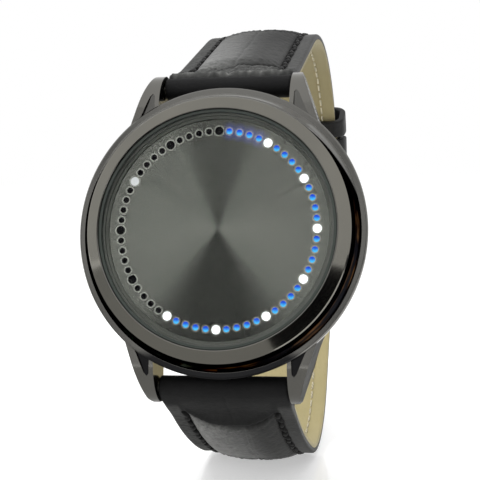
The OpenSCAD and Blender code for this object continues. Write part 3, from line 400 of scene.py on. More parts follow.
def suede_lining():
    """Tan split-leather lining: nap, pores and rubbed clouds, with painted shade that darkens it towards the
    top of the loop.
    """
    finish = Finish("tan_lining_finish", Sheen_Weight=0.15, Sheen_Roughness=0.5)
    place = finish.place()
    nap = finish.noise(place, 2600, 4, 0.7)
    cloud = finish.noise(place, 170, 4, 0.6)
    pores = finish.cells(place, 1500).step(0.02, 0.16)
    x, y, z = finish.split(place)
    base = finish.mix(cloud, (0.42, 0.36, 0.18), (0.52, 0.45, 0.25))
    # Painted shade: darker towards the top of the loop.
    base = finish.mix(0.34 * z.step(-12 * MM, 16 * MM), base, (0.02, 0.015, 0.005))
    return finish.wear(
        Base_Color=finish.mix(pores, (0.30, 0.22, 0.11), base),
        Roughness=0.78 + 0.15 * nap,
        Normal=finish.bump(0.6 * nap + 0.4 * pores, 0.04 * MM))


def edge_paint():
    """Cut leather edge, rubbed with pale grey paint that shows the fibre's layers."""
    finish = Finish("edge_paint_finish")
    place = finish.place()
    fibre = finish.noise(place, 1900, 4, 0.7)
    cloud = finish.noise(place, 240, 3, 0.6)
    return finish.wear(
        Base_Color=finish.mix(0.5 * fibre + 0.5 * cloud, (0.10, 0.10, 0.096), (0.34, 0.336, 0.32)),
        Roughness=0.5 + 0.2 * fibre,
        Normal=finish.bump(fibre, 0.05 * MM))


def thread(name, colour, shine=0.3):
    """Waxed thread: a slanted twist of plies."""
    finish = Finish(name, Specular_IOR_Level=shine)
    place = finish.place()
    x, y, z = finish.split(place)
    twist = ((x * 0.8 + y * 0.45 + z * 0.45) * 14000.0).maths("SINE") * 0.5 + 0.5
    fuzz = finish.noise(place, 5000, 2, 0.6)
    return finish.wear(
        Base_Color=finish.shades(twist, colour, 0.55, 1),
        Roughness=0.45 + 0.2 * fuzz,
        Normal=finish.bump(0.7 * twist + 0.3 * fuzz, 0.05 * MM))


def felt():
    """Grey needled felt of the strap's padding."""
    finish = Finish("pad_felt_finish", Sheen_Weight=0.4)
    fibre = finish.noise(finish.place((1.0, 2.2, 1.6)), 2400, 5, 0.75)
    return finish.wear(
        Base_Color=finish.mix(fibre, (0.20, 0.19, 0.17), (0.36, 0.34, 0.30)),
        Roughness=0.85 + 0.1 * fibre,
        Normal=finish.bump(fibre, 0.1 * MM))


FINISHES = {
    "dark_steel": polished_steel("dark_steel_finish", (0.168, 0.165, 0.155), 0.12, 0.06),
    "crystal_glass": clear_cover("crystal_finish", (0.985, 0.99, 0.985), 0.12),
    "seal_rubber": moulded("seal_rubber_finish", (0.038, 0.046, 0.040), 0.6),
    "black_plastic": moulded("black_plastic_finish", (0.02, 0.02, 0.022), 0.42),
    "dial_metal": dial_face(),
    "clear_plastic": lamp_windows("hour_window_finish", "hours"),
    "blue_plastic": lamp_windows("minute_window_finish", "minutes"),
    "film": clear_cover("touch_film_finish", (0.985, 0.99, 0.98), 0.05),
    "board": circuit_green(),
    "lamp": moulded("lamp_finish", (0.75, 0.76, 0.72), 0.3, 3000.0, Coat_Weight=0.5),
    "chip": moulded("chip_finish", (0.018, 0.018, 0.02), 0.5, 5000.0),
    "ceramic": moulded("ceramic_finish", (0.42, 0.30, 0.19), 0.4, 4000.0),
    "contact_metal": plain_metal("contact_metal_finish", (0.72, 0.58, 0.32), 0.25),
    "cell_steel": plain_metal("cell_steel_finish", (0.66, 0.66, 0.65), 0.22),
    "steel": plain_metal("steel_finish", (0.56, 0.55, 0.53), 0.22),
    "back_steel": turned_steel("back_steel_finish", (0.36, 0.355, 0.34), 0.24),
    "buckle_steel": polished_steel("buckle_steel_finish", (0.30, 0.295, 0.28), 0.14),
    "black_leather": leather("black_leather_finish", (0.005, 0.005, 0.0055), (0.013, 0.013, 0.013), 0.70),
    "keeper_leather": leather("keeper_leather_finish", (0.010, 0.010, 0.010), (0.018, 0.018, 0.018), 0.5),
    "tan_leather": suede_lining(),
    "pad_felt": felt(),
    "black_thread": thread("black_thread_finish", (0.006, 0.006, 0.006), 0.10),
}
EDGE_PAINT = edge_paint()
TAN_THREAD = thread("tan_thread_finish", (0.74, 0.68, 0.50))
BEZEL_BAND = polished_steel("bezel_band_finish", (0.178, 0.174, 0.156), 0.085, 0.08)
BEZEL_WALL_WITH_PAINTED_REFLECTIONS = bezel_wall_with_painted_reflections()
CASE_EDGE_WITH_PAINTED_SHADE = case_edge_with_painted_shade()
# Painted light and shade on the stepped ring: its walls are darker, and its flats that face out of the dial
# are lighter.
RING_PAINTED_SHADE = moulded("inner_ring_finish", (0.022, 0.028, 0.023), 0.5)
RING_PAINTED_LIT = moulded("inner_step_painted_lit_finish", (0.105, 0.108, 0.098), 0.45)
# Painted shade in the lugs' wells, which are the lug's own steel: black at 6 o'clock, grey at 12.
WELL_PAINTED_SHADE = polished_steel("well_painted_shade_finish", (0.018, 0.018, 0.019), 0.15)
WELL_PAINTED_GREY = polished_steel("well_painted_grey_finish", (0.135, 0.133, 0.125), 0.14)
# Painted grey: the 6 o'clock lugs' outer flanks get a flat grey in place of the steel's reflections.
LUG_FLANK_PAINTED_GREY = moulded("lug_flank_painted_grey_finish", (0.125, 0.125, 0.117), 0.4, Specular_IOR_Level=0.1)


# Bench work

def alone(*objects):
    """Selects these objects only."""
    for other in bpy.data.objects:
        if other.name in bpy.context.view_layer.objects:
            other.select_set(False)
    for one in objects:
        one.select_set(True)
    bpy.context.view_layer.objects.active = objects[0] if objects else None


def smoothed(piece, degrees):
    """Shades a piece smooth except where its faces meet at more than this angle."""
    alone(piece)
    bpy.ops.object.shade_smooth_by_angle(angle=math.radians(degrees))


def edit_all():
    """Opens the active object's mesh with everything selected."""
    bpy.ops.object.mode_set(mode="EDIT")
    bpy.ops.mesh.select_all(action="SELECT")


def close_edit(merge):
    """Merges points closer than this, in mm, turns the faces outwards and leaves edit mode."""
    bpy.ops.mesh.select_all(action="SELECT")
    bpy.ops.mesh.remove_doubles(threshold=merge * MM)
    bpy.ops.mesh.normals_make_consistent(inside=False)
    bpy.ops.object.mode_set(mode="OBJECT")


def axes_at(where, x_axis, y_axis, z_axis):
    """The matrix that sets a piece at this place, with its axes turned to these directions."""
    return Matrix.Translation(where) @ Matrix((x_axis, y_axis, z_axis)).transposed().to_4x4()


def placed(name, data):
    """A new object in the scene that holds this data."""
    piece = bpy.data.objects.new(name, data)
    bpy.context.scene.collection.objects.link(piece)
    return piece


def settle(piece, name):
    """Sets a piece from the bench in the watch, with its place put into its mesh."""
    alone(piece)
    piece.matrix_world = BENCH_TO_WATCH @ piece.matrix_world
    bpy.context.view_layer.update()
    bpy.ops.object.transform_apply(location=True, rotation=True, scale=True)
    piece.name = name
    piece.data.name = name
    return piece


def finished(piece, body, slot, replaced=(), materials=()):
    """Dresses a piece in its slot's own finish, unless others are given."""
    piece.data.materials.clear()
    for material in materials or [FINISHES[slot]]:
        piece.data.materials.append(material)
    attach(piece, body)
    if replaced:
        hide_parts(*replaced)


def apply_modifiers(piece):
    """Puts a piece's modifiers into its mesh."""
    alone(piece)
    for modifier in list(piece.modifiers):
        bpy.ops.object.modifier_apply(modifier=modifier.name)


def holed(piece, *cutters):
    """Cuts the cutters' shapes out of the piece."""
    for cutter in cutters:
        cut = piece.modifiers.new("cut", "BOOLEAN")
        cut.operation = "DIFFERENCE"
        cut.solver = "EXACT"
        cut.object = cutter
    apply_modifiers(piece)


def skinned(name, mesh):
    """The bmesh as a smooth piece with its faces turned outwards."""
    bmesh.ops.recalc_face_normals(mesh, faces=mesh.faces[:])
    data = bpy.data.meshes.new(name)
    mesh.to_mesh(data)
    mesh.free()
    for face in data.polygons:
        face.use_smooth = True
    return placed(name, data)


def sleeve(mesh, rings):
    """Faces from each ring of corners to the next."""
    for a, b in zip(rings, rings[1:]):
        for j in range(len(a)):
            k = (j + 1) % len(a)
            mesh.faces.new((a[j], a[k], b[k], b[j]))


def rounded(corners):
    """A closed profile of (radius, depth, rounding): each corner is an arc between two holding points."""
    outline = []
    for i, (r, d, fillet) in enumerate(corners):
        if not fillet:
            outline.append((r, d))
            continue
        here = Vector((r, d))
        before = Vector(corners[i - 1][:2]) - here
        after = Vector(corners[(i + 1) % len(corners)][:2]) - here
        half = before.angle(after) / 2
        cut = min(fillet / math.tan(half), before.length * 0.45, after.length * 0.45)
        radius = cut * math.tan(half)
        hold = min(0.03, cut * 0.2)
        before.normalize()
        after.normalize()
        start = here + before * cut
        end = here + after * cut
        centre = here + (before + after).normalized() * (radius / math.sin(half))
        first = start - centre
        turn = first.angle_signed(end - centre)
        steps = 5 if fillet < 0.3 else 8
        outline.append(tuple(start + before * hold))
        for k in range(steps + 1):
            arm = first.copy()
            arm.rotate(Matrix.Rotation(-turn * k / steps, 2))
            outline.append(tuple(centre + arm))
        outline.append(tuple(end + after * hold))
    return outline


def turned(name, profile, sides=256, ring=True):
    """A lathe part: a circle is drawn out into ring after ring along a profile of (radius, depth). A ring's
    profile is closed. A disc starts and ends with a flat face."""
    alone()
    r, d = profile[0]
    bpy.ops.mesh.primitive_circle_add(vertices=sides, radius=r * MM, location=(0, 0, -d * MM),
                                      fill_type="NOTHING" if ring else "NGON")
    piece = bpy.context.object
    bpy.ops.object.transform_apply(location=True)
    edit_all()
    for next_r, next_d in profile[1:] + (profile[:1] if ring else []):
        bpy.ops.mesh.extrude_region_move(TRANSFORM_OT_translate={"value": (0, 0, (d - next_d) * MM)})
        bpy.ops.transform.resize(value=(next_r / r, next_r / r, 1), center_override=(0, 0, 0))
        r, d = next_r, next_d
    close_edit(0.001)
    smoothed(piece, 180 if ring else 25)
    return settle(piece, name)


def dial_place(face):
    """A face's distance from the dial's axis and its depth behind the dial's face, in mm."""
    local = BENCH_TO_WATCH.inverted() @ face.center
    return math.hypot(local.x, local.y) / MM, -local.z / MM


# Bezel, case and glass

bezel = turned("bezel_ring", rounded([
    (19.45, -1.84, 0.06), (19.6, -1.93, 0.07), (21.42, -0.76, 0.30), (21.64, -0.56, 0.2), (21.80, -0.16, 0.5),
    (22.12, 0.72, 0.8), (22.62, 1.65, 0.6), (22.98, 2.40, 0.1), (20.69, 2.40, 0.1), (20.69, 0.75, 0.1),
    (19.45, 0.75, 0.1)]))
finished(bezel, "head", "dark_steel", ["bezel"], [FINISHES["dark_steel"], BEZEL_BAND, BEZEL_WALL_WITH_PAINTED_REFLECTIONS])
for face in bezel.data.polygons:
    reach, depth = dial_place(face)
    if 19.57 < reach < 21.58 and depth < -0.3:
        face.material_index = 1
    elif reach > 21.5 and depth < 2.38:
        face.material_index = 2

crystal = turned("watch_crystal", [
    (18.3, -1.8), (18.72, -1.8), (18.92, -1.6), (18.92, -0.6), (18.3, -0.6)], 192, ring=False)
finished(crystal, "head", "crystal_glass", ["crystal"])
gasket = turned("crystal_seal", rounded([
    (18.92, -1.6, 0.04), (19.42, -1.6, 0.12), (19.42, -0.6, 0.04), (18.92, -0.6, 0.04)]), 192)
finished(gasket, "head", "seal_rubber", ["crystal_gasket"])
ring = turned("stepped_ring", rounded([
    (18.55, -0.54, 0.05), (19.25, -0.54, 0.03), (19.25, 0, 0.03), (18.05, 0, 0.03), (18.05, -0.25, 0.06),
    (18.55, -0.25, 0.03)]), 192)
finished(ring, "head", "black_plastic", ["inner_ring"], [RING_PAINTED_SHADE, RING_PAINTED_LIT])
outward = BENCH_TO_WATCH.to_3x3() @ Vector((0, 0, 1))
# Faces turned out of the dial get the painted lit grey; the rest get the painted shade.
for face in ring.data.polygons:
    face.material_index = 1 if face.normal.dot(outward) > 0.8 else 0

case = turned("case_body", rounded([
    (19.3, 0.75, 0.1), (20.65, 0.75, 0.1), (20.65, 2.5, 0.05), (22.96, 2.5, 0), (23.67, 2.5, 0.12),
    (23.92, 2.75, 0.15), (23.92, 3.6, 0.35), (23.1, 7.2, 0.8), (22.6, 8.4, 0.15), (19.3, 8.4, 0.1)]))

# The lug at 1 o'clock: its block, the curves at its tip's front and back, and its plan from root to tip
LUG_LOW = Vector((10.99, 14.5, -10.3))
LUG_HIGH = Vector((16.6, 27.78, -2.95))
LUG_FRONT_R = 6.8
LUG_BACK_R = 1.0
LUG_PLAN = [(16.1, 17), (15.5, 18.8), (12.9, 26.88), (12.35, 27.58), (11.9, 27.78)]
LUG_EDGE = 0.16
# The hollow under the lug, and the three-cornered well in its front
HOLLOW = Vector((13.5, 18.8, -12.5))
HOLLOW_R = 3.2
WELL_FLOOR = -3.5
WELL_PLAN = [(11.55, 17.78), (14.95, 17.78), (13.85, 19.88), (12.55, 22.98), (12.1, 23.48), (11.75, 23.08)]


def lug():
    """One lug: a block whose front corner is a long curve, trimmed to its plan, hollowed below and dished."""
    alone()
    bpy.ops.mesh.primitive_cube_add(size=1, location=(LUG_LOW + LUG_HIGH) / 2 * MM,
                                    scale=(LUG_HIGH - LUG_LOW) * MM)
    block = bpy.context.object
    bpy.ops.object.transform_apply(location=True, scale=True)
    bpy.ops.object.mode_set(mode="EDIT")

    def bevel_tip(height, **shape):
        """Bevels the edge at the lug's tip that lies at this height."""
        mesh = bmesh.from_edit_mesh(block.data)
        bpy.ops.mesh.select_all(action="DESELECT")
        bpy.ops.mesh.select_mode(type="EDGE")
        for edge in mesh.edges:
            edge.select_set(all(abs(v.co.y / MM - LUG_HIGH.y) < 0.01 and abs(v.co.z / MM - height) < 0.01
                                for v in edge.verts))
        bmesh.update_edit_mesh(block.data)
        bpy.ops.mesh.bevel(profile=0.5, affect="EDGES", **shape)

    def trim(x, y, normal):
        bpy.ops.mesh.select_all(action="SELECT")
        bpy.ops.mesh.bisect(plane_co=(x * MM, y * MM, 0), plane_no=normal.normalized(), use_fill=True,
                            clear_outer=True)

    bevel_tip(LUG_HIGH.z, offset=LUG_FRONT_R * MM, segments=28, clamp_overlap=False)
    bevel_tip(LUG_LOW.z, offset=LUG_BACK_R * MM, segments=8)
    for (x0, y0), (x1, y1) in zip(LUG_PLAN, LUG_PLAN[1:]):
        trim(x0, y0, Vector((y1 - y0, x0 - x1, 0)))
    # The tip's inner corner is cut at 45 degrees.
    trim(11.0, 27.53, Vector((-0.25, 0.25, 0)))
    close_edit(0.002)
    alone()
    bpy.ops.mesh.primitive_cylinder_add(vertices=96, radius=HOLLOW_R * MM, depth=12 * MM,
                                        location=HOLLOW * MM, rotation=(0, math.pi / 2, 0))
    hollow = bpy.context.object
    bpy.ops.mesh.primitive_circle_add(vertices=len(WELL_PLAN), radius=MM, fill_type="NGON", location=(0, 0, 0))
    well = bpy.context.object
    for vertex, (x, y) in zip(well.data.vertices, reversed(WELL_PLAN)):
        vertex.co = Vector((x, y, WELL_FLOOR)) * MM
    edit_all()
    bpy.ops.mesh.extrude_region_move(TRANSFORM_OT_translate={"value": (0, 0, 6 * MM)})
    close_edit(0.001)
    holed(block, hollow, well)
    bpy.data.objects.remove(hollow)
    bpy.data.objects.remove(well)
    soften = block.modifiers.new("soften", "BEVEL")
    soften.width = LUG_EDGE * MM
    soften.segments = 3
    soften.limit_method = "ANGLE"
    soften.angle_limit = math.radians(28)
    soften.use_clamp_overlap = True
    soften.harden_normals = True
    smoothed(block, 28)
    apply_modifiers(block)
    return block


def transformed_copy(source, matrix):
    """A copy of a piece, its mesh moved by the matrix."""
    copy = placed(source.name, source.data.copy())
    copy.data.transform(matrix)
    return copy


def paint_lug(piece, side, end):
    """Gives the well, and the outer flanks at 6 o'clock, their own finishes: painted shade in the wells, black
    at 6 o'clock and grey at 12, and a painted flat grey on the flanks.
    """
    for material in (FINISHES["dark_steel"], WELL_PAINTED_GREY if end > 0 else WELL_PAINTED_SHADE, LUG_FLANK_PAINTED_GREY):
        piece.data.materials.append(material)
    for face in piece.data.polygons:
        centre = face.center / MM
        inside = 11.4 < abs(centre.x) < 15.0 and 17.8 < abs(centre.y) < 24.3 and -3.52 < centre.z < -3.05
        floor_face = abs(centre.z - WELL_FLOOR) < 0.01 and abs(face.normal.z) > 0.99
        if inside and (floor_face or abs(face.normal.z) < 0.3):
            face.material_index = 1
        elif end < 0 and face.normal.x * side > 0.3 and centre.x * side > 11.8:
            face.material_index = 2


first_lug = lug()
lugs = []
for side, end in ((1, 1), (-1, 1), (1, -1), (-1, -1)):
    piece = transformed_copy(first_lug, Matrix.Diagonal((side, end, 1, 1)))
    if side * end < 0:
        piece.data.flip_normals()
    # Mirroring spoils the stored normals, so they are made afresh from the faces' areas.
    alone(piece)
    bpy.ops.mesh.customdata_custom_splitnormals_clear()
    even = piece.modifiers.new("even", "WEIGHTED_NORMAL")
    even.keep_sharp = True
    apply_modifiers(piece)
    paint_lug(piece, side, end)
    lugs.append(settle(piece, "lug"))
bpy.data.objects.remove(first_lug)
case.data.materials.append(FINISHES["dark_steel"])
case.data.materials.append(CASE_EDGE_WITH_PAINTED_SHADE)
for face in case.data.polygons:
    reach, depth = dial_place(face)
    if reach > 22.98 and depth < 7.4:
        face.material_index = 1
alone(case, *lugs)
bpy.ops.object.join()
case.name = "case_and_lugs"
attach(case, "head")
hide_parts("case_middle")


# The strap's line

class StrapLine:
    """A strap piece's side view: straights and arcs of (length, radius, turn), from its spring bar. Its outer
    face is on side, and the embossing's cross joints run over it at the lengths in joints."""

    def __init__(self, start, parts, side, end=None, joints=()):
        self.start = start
        self.parts = parts
        self.side = side
        self.end = end or sum(part[0] for part in parts)
        self.joints = joints

    def at(self, s):
        """(y, z, heading) at length s, in the dial's frame."""
        y, z, h = self.start
        for i, (length, radius, turn) in enumerate(self.parts):
            run = s if i == len(self.parts) - 1 else min(s, length)
            if radius == 0:
                y, z = y + run * math.cos(h), z + run * math.sin(h)
            else:
                new = h + turn * run / radius
                y += turn * radius * (math.sin(new) - math.sin(h))
                z -= turn * radius * (math.cos(new) - math.cos(h))
                h = new
            s -= run
            if s <= 0:
                break
        return y, z, h

    def point(self, s, x, n, ahead=0.0):
        """Watch frame, in metres: n is out of the strap's outer face, ahead is along the strap."""
        y, z, h = self.at(s)
        y += ahead * math.cos(h) - self.side * math.sin(h) * n
        z += ahead * math.sin(h) + self.side * math.cos(h) * n
        return BENCH_TO_WATCH @ (Vector((x, z, -y)) * MM)


def arc(radius, degrees, turn):
    """One bend of a StrapLine. It turns towards +1 or -1."""
    return radius * math.radians(degrees), radius, turn


# Radii of the buckle corner, of the tail that lies over it, and of the heel where the long piece turns up
KEEPER_R = 17.0
TAIL_R = 20.1
HEEL_R = 21.6
LAST_BEND = arc(KEEPER_R, 58, -1)
SHORT = StrapLine((7.9, 25.2, math.radians(28.4)), [(33.6, 0, 0), arc(33.7, 64.8, -1), LAST_BEND], 1,
                  joints=(8.4, 36.5, 40.2, 51.0, 61.6, 71.0, 79.5))
_y, _z, _h = SHORT.at(SHORT.end - LAST_BEND[0])
CORNER = (_y + KEEPER_R * math.sin(_h), _z - KEEPER_R * math.cos(_h))
LONG_START = (7.9, -25.2, math.radians(-30))
FIRST_BEND = arc(87, 22.5, 1)
_y, _z, _h = StrapLine(LONG_START, [FIRST_BEND], -1).at(FIRST_BEND[0])
_heel = (_y - HEEL_R * math.sin(_h), _z + HEEL_R * math.cos(_h))
_span = math.hypot(CORNER[0] - _heel[0], CORNER[1] - _heel[1])
_rise = math.atan2(CORNER[1] - _heel[1], CORNER[0] - _heel[0]) + math.asin((HEEL_R - TAIL_R) / _span)
LONG = StrapLine(LONG_START, [
    FIRST_BEND, (HEEL_R * (_rise - _h), HEEL_R, 1), (math.sqrt(_span ** 2 - (HEEL_R - TAIL_R) ** 2), 0, 0),
    (math.pi * TAIL_R, TAIL_R, 1)], -1, end=131.05,
    joints=(5.8, 33.5, 44.4, 54.8, 64.4, 73.4, 82.0, 90.4, 98.6, 106.8, 114.8, 123.4))
# The hole in use, and the holes' pitch and radius
HOLE_S = 112.35
HOLE_PITCH = 6.5
HOLE_R = 1.15
SLOT_SIZE = (3.6 * MM, 6.8 * MM, 12 * MM)
HALF_T = 0.9
STITCH_IN = 2.8
# Lengths folded under at a spring bar and at the buckle bar
FOLD = 6.5
BUCKLE_FOLD = 5.0
POINT_L = 9


def ease(start, end, s):
    """0 up to start, 1 from end on, and a soft step between them."""
    t = min(1, max(0, (s - start) / (end - start)))
    return t * t * (3 - 2 * t)


def dent(distance, width):
    """1 where the distance is 0, fading out on both sides over about this width."""
    return math.exp(-(distance / width) ** 2)


def wave(x, y, z):
    """Smooth noise, about -1 to 1."""
    return noise.noise(Vector((x, y, z)))


def half_width(line, s):
    """Half the strap's width. The long piece ends in a rounded point."""
    half_w = (21.6 - 0.8 * s / line.end) / 2
    if line is SHORT:
        return half_w
    u = max(0.0, min(1.0, (s - line.end + POINT_L) / POINT_L))
    return half_w * math.sqrt(1 - 0.96 * u ** 3)


def padding(line, s):
    """The pad's height down the strap's middle."""
    if line is LONG:
        return 0.03 + ease(4.5, 12.5, s) * 1.4 * (1 - ease(32, 60, s))
    size = 1.4 + (0.35 - 1.4) * ease(24, line.end - 18, s)
    return 0.03 + ease(4.5, 12.5, s) * size * (1 - ease(line.end - 8, line.end - 5, s))


def swell(line, s):
    """How far the leather stands out more where it is rolled round a bar."""
    lug_end = 0.97 * (1 - ease(0, 10.5, s))
    return lug_end + (0.67 * ease(line.end - 3.6, line.end, s) if line is SHORT else 0)


# Embossing

def tile_line(line, joint, x, half_w):
    """Where a cross joint runs: the first ones are those the photograph shows, the others wander."""
    if joint == LONG.joints[0]:
        drop = 7.8 if x < -0.6 else 4.4
        return 10.5 - drop * min(1.0, (abs(x + 0.6) / max(2.0, half_w - 2.4)) ** 3.3)
    if joint == SHORT.joints[0]:
        return joint + 1.5 * ease(-1.5, 0.5, x) - 0.7 * ease(-8.0, -3.0, x) + 0.4 * wave(x * 0.6, 1.0, 0.0)
    if line is SHORT and joint < 41:
        return joint + 4.5 * (x / half_w) ** 2 * (-1 if x < 0 else 0.35)
    wander = 0.9 * wave(x * 0.16, joint * 1.7, 3.0 if line is SHORT else 9.0)
    return joint + wander + (0.6 * (x / half_w) if line is SHORT else 0.5 * (x / half_w) ** 2)


def tile_lines(line, x, half_w):
    return [tile_line(line, joint, x, half_w) for joint in line.joints]


def tile_middle(line, row, s, seed):
    """Where the joint down the middle of a tile row runs, and how firmly it is pressed."""
    if row > 1:
        return (-0.3 if line is SHORT else -0.2) + 1.4 * wave(row * 3.1, seed, s * 0.05), 1.0
    if line is SHORT:
        return -0.5 + 0.25 * ease(10, 26, s), 0.7 * row
    return (1.6 - 0.9 * ease(10, 24, s), 1.0) if row else (0.1, 0.5)


def ridge_line(x):
    """Where the scalloped ridge runs over the roll above the case."""
    return 1.75 + 0.7 * wave(x * 0.42, 0.3, 1.0) + 0.45 * abs(math.sin(x * 1.05 + 0.4))


def embossing(line, s, x, half_w):
    """Height of the crocodile tiles, wrinkles and stitch channels above the plain padded surface, in mm."""
    seed = 2.0 if line is SHORT else 7.0
    seam_x = half_w - STITCH_IN
    inner = 1 - ease(seam_x - 0.8, seam_x - 0.2, abs(x))
    lines = tile_lines(line, x, half_w)
    crossing = min(abs(s - place) for place in lines)
    row = sum(1 for place in lines if s > place)
    past = s - lines[0]
    height = 0.0
    if line is LONG and row <= 1:
        # The first joint is a fold: the panel above it hangs over the one below.
        height += inner * (0.34 * dent(past + 1.0, 0.9) - 0.62 * dent(past, 0.42)) if past < 3 else 0.0
        height += inner * 0.20 * wave(x * 2.3, 1.0, seed) * dent(past - 1.0, 0.9)
    elif line is SHORT and row == 0:
        height -= inner * 0.28 * dent(crossing, 0.38)
        height += inner * 0.12 * dent(past + 0.8, 0.5)
    else:
        height -= inner * 0.26 * dent(crossing, 0.36)
        height += inner * 0.10 * (1 - dent(crossing, 1.4))
    shift, firm = tile_middle(line, row, s, seed)
    centre = x - shift - 0.20 * wave(s * 0.30, seed, 0.5)
    height -= firm * inner * 0.22 * dent(centre, 0.24)
    if line is LONG and row == 1:
        height -= inner * 0.12 * dent(centre - 0.75, 0.18) * ease(12, 16, s)
    height += firm * inner * 0.06 * (1 - dent(centre, 1.2))
    # Fine wrinkles gather beside the joints and run slantwise in the middle of the tiles.
    height += inner * 0.11 * wave(x * 2.1 + s * 0.9, s * 0.55, seed) * (0.5 + dent(crossing - 1.4, 1.6))
    height += inner * 0.050 * wave(x * 0.6, s * 2.4, seed + 4) * (0.4 + dent(crossing, 2.5))
    if line is SHORT:
        # Above the case the leather is gathered: a scalloped ridge over the roll, rough folds up to the joint.
        ridge = s - ridge_line(x)
        crest = 1 - 0.75 * dent(x + 0.25, 0.5)
        height += 0.62 * crest * dent(ridge, 0.42)
        height -= 0.45 * crest * dent(ridge + 1.05, 0.45)
        gathers = wave(x * 0.75, s * 1.5, 11) + 0.6 * wave(x * 2.2, s * 2.6, 17)
        height += 0.34 * gathers * ease(1.6, 3.2, s) * (1 - ease(7.6, 9.2, s))
    if s > 6.6:
        channel = 0.34 if line is SHORT and x < 0 else 0.24
        height -= channel * dent(abs(x) - seam_x, 0.36) * ease(6.6, 8.0, s)
    rough = wave(x * 1.3, s * 1.2, seed + 8) + 0.5 * wave(x * 3.0, s * 2.8, seed + 21)
    margin = ease(half_w - 2.5, half_w - 1.9, abs(x)) * ease(3.0, 6.0, s)
    return height + (0.10 if x < 0 else 0.03) * rough * margin


def strap_fields(line, s, x, half_w):
    """How glazed the leather is here, with painted sheen stronger to the left and painted highlights on the
    ridge's crest; how near its stitches and how deep in a fold, where shade is painted; each from 0 to 1.
    """
    seam_x = half_w - STITCH_IN
    lines = tile_lines(line, x, half_w)
    inner = 1 - ease(seam_x - 0.7, seam_x - 0.1, abs(x))
    beside = ease(seam_x + 0.3, seam_x + 0.7, abs(x))
    # Painted highlight along the crest of the scalloped ridge over the roll.
    crest = 0.0
    if line is SHORT:
        broken = 1.5 + 1.1 * wave(x * 1.3, s * 1.1, 5.0)
        crest = broken * dent(s - ridge_line(x) + 0.1, 0.55) * ease(-half_w, 0.8 - half_w, -abs(x))
    # Painted sheen: on the panels it is stronger towards the left, where the light falls.
    if s < lines[0]:
        glaze_and_painted_sheen = 0.85 * ease(2.3, 3.2, s) if line is SHORT else 0.10 * ease(0.5, 3.0, s)
    elif line is SHORT:
        glaze_and_painted_sheen = (1.5 - 1.1 * ease(-6, 4, x)) * (1 - 0.45 * ease(14, 32, s))
    else:
        glaze_and_painted_sheen = 2.15 - 1.75 * ease(-6, 5, x) if s < 33 else 0.8
    stitch = dent(abs(x) - seam_x, 0.48) * ease(6.2, 7.0, s)
    deep = 0.42 if line is LONG and s < 20 else 0.32
    fold = inner * dent(min(abs(s - place) for place in lines), deep)
    return max(glaze_and_painted_sheen * inner + 0.50 * beside * ease(2.3, 5.0, s), crest), stitch, fold


def upper_face(line, s, x):
    """Height of the leather's outer face above the strap's middle line."""
    half_w = half_width(line, s)
    pad_w = max(half_w - 3.3, half_w / 4)
    crown = max(0.0, 1 - (x / pad_w) ** 2) ** 0.65
    edge = 1 - ease(half_w - 0.7, half_w - 0.1, abs(x))
    return HALF_T + swell(line, s) + padding(line, s) * crown + edge * embossing(line, s, x, half_w)


# The strap's pieces

COLUMNS = 96
EDGE_R = 0.42
FOLD_STEP = 0.4
ROLL_STEPS = 24
SEAT_N = -0.1


def frange(start, end, step):
    """Even steps of about this size from start to end, both included."""
    count = max(1, round((end - start) / step))
    return [start + (end - start) * i / count for i in range(count + 1)]


def cross_row(line, s, top, turn=None):
    """Points across one side of the strap, from its left edge over the face to its right edge."""
    half_w = half_width(line, s)
    sign = 1 if top(0.0) > 0 else -1
    inside = half_w - EDGE_R
    side = [(half_w, 0.0)]
    for degrees in (0, 30, 60):
        a = math.radians(degrees)
        side.append((half_w - EDGE_R * (1 - math.cos(a)), top(inside) - sign * EDGE_R * (1 - math.sin(a))))
    face = [-inside + 2 * inside * j / COLUMNS for j in range(COLUMNS + 1)]
    section = [(-x, n) for x, n in side] + [(x, top(x)) for x in face] + side[::-1]
    if turn is None:
        return [line.point(s, x, n) for x, n in section]
    # A row of the roll stands on the bar's axis, turned round it.
    return [line.point(s, x, n * math.sin(turn), n * math.cos(turn)) for x, n in section]


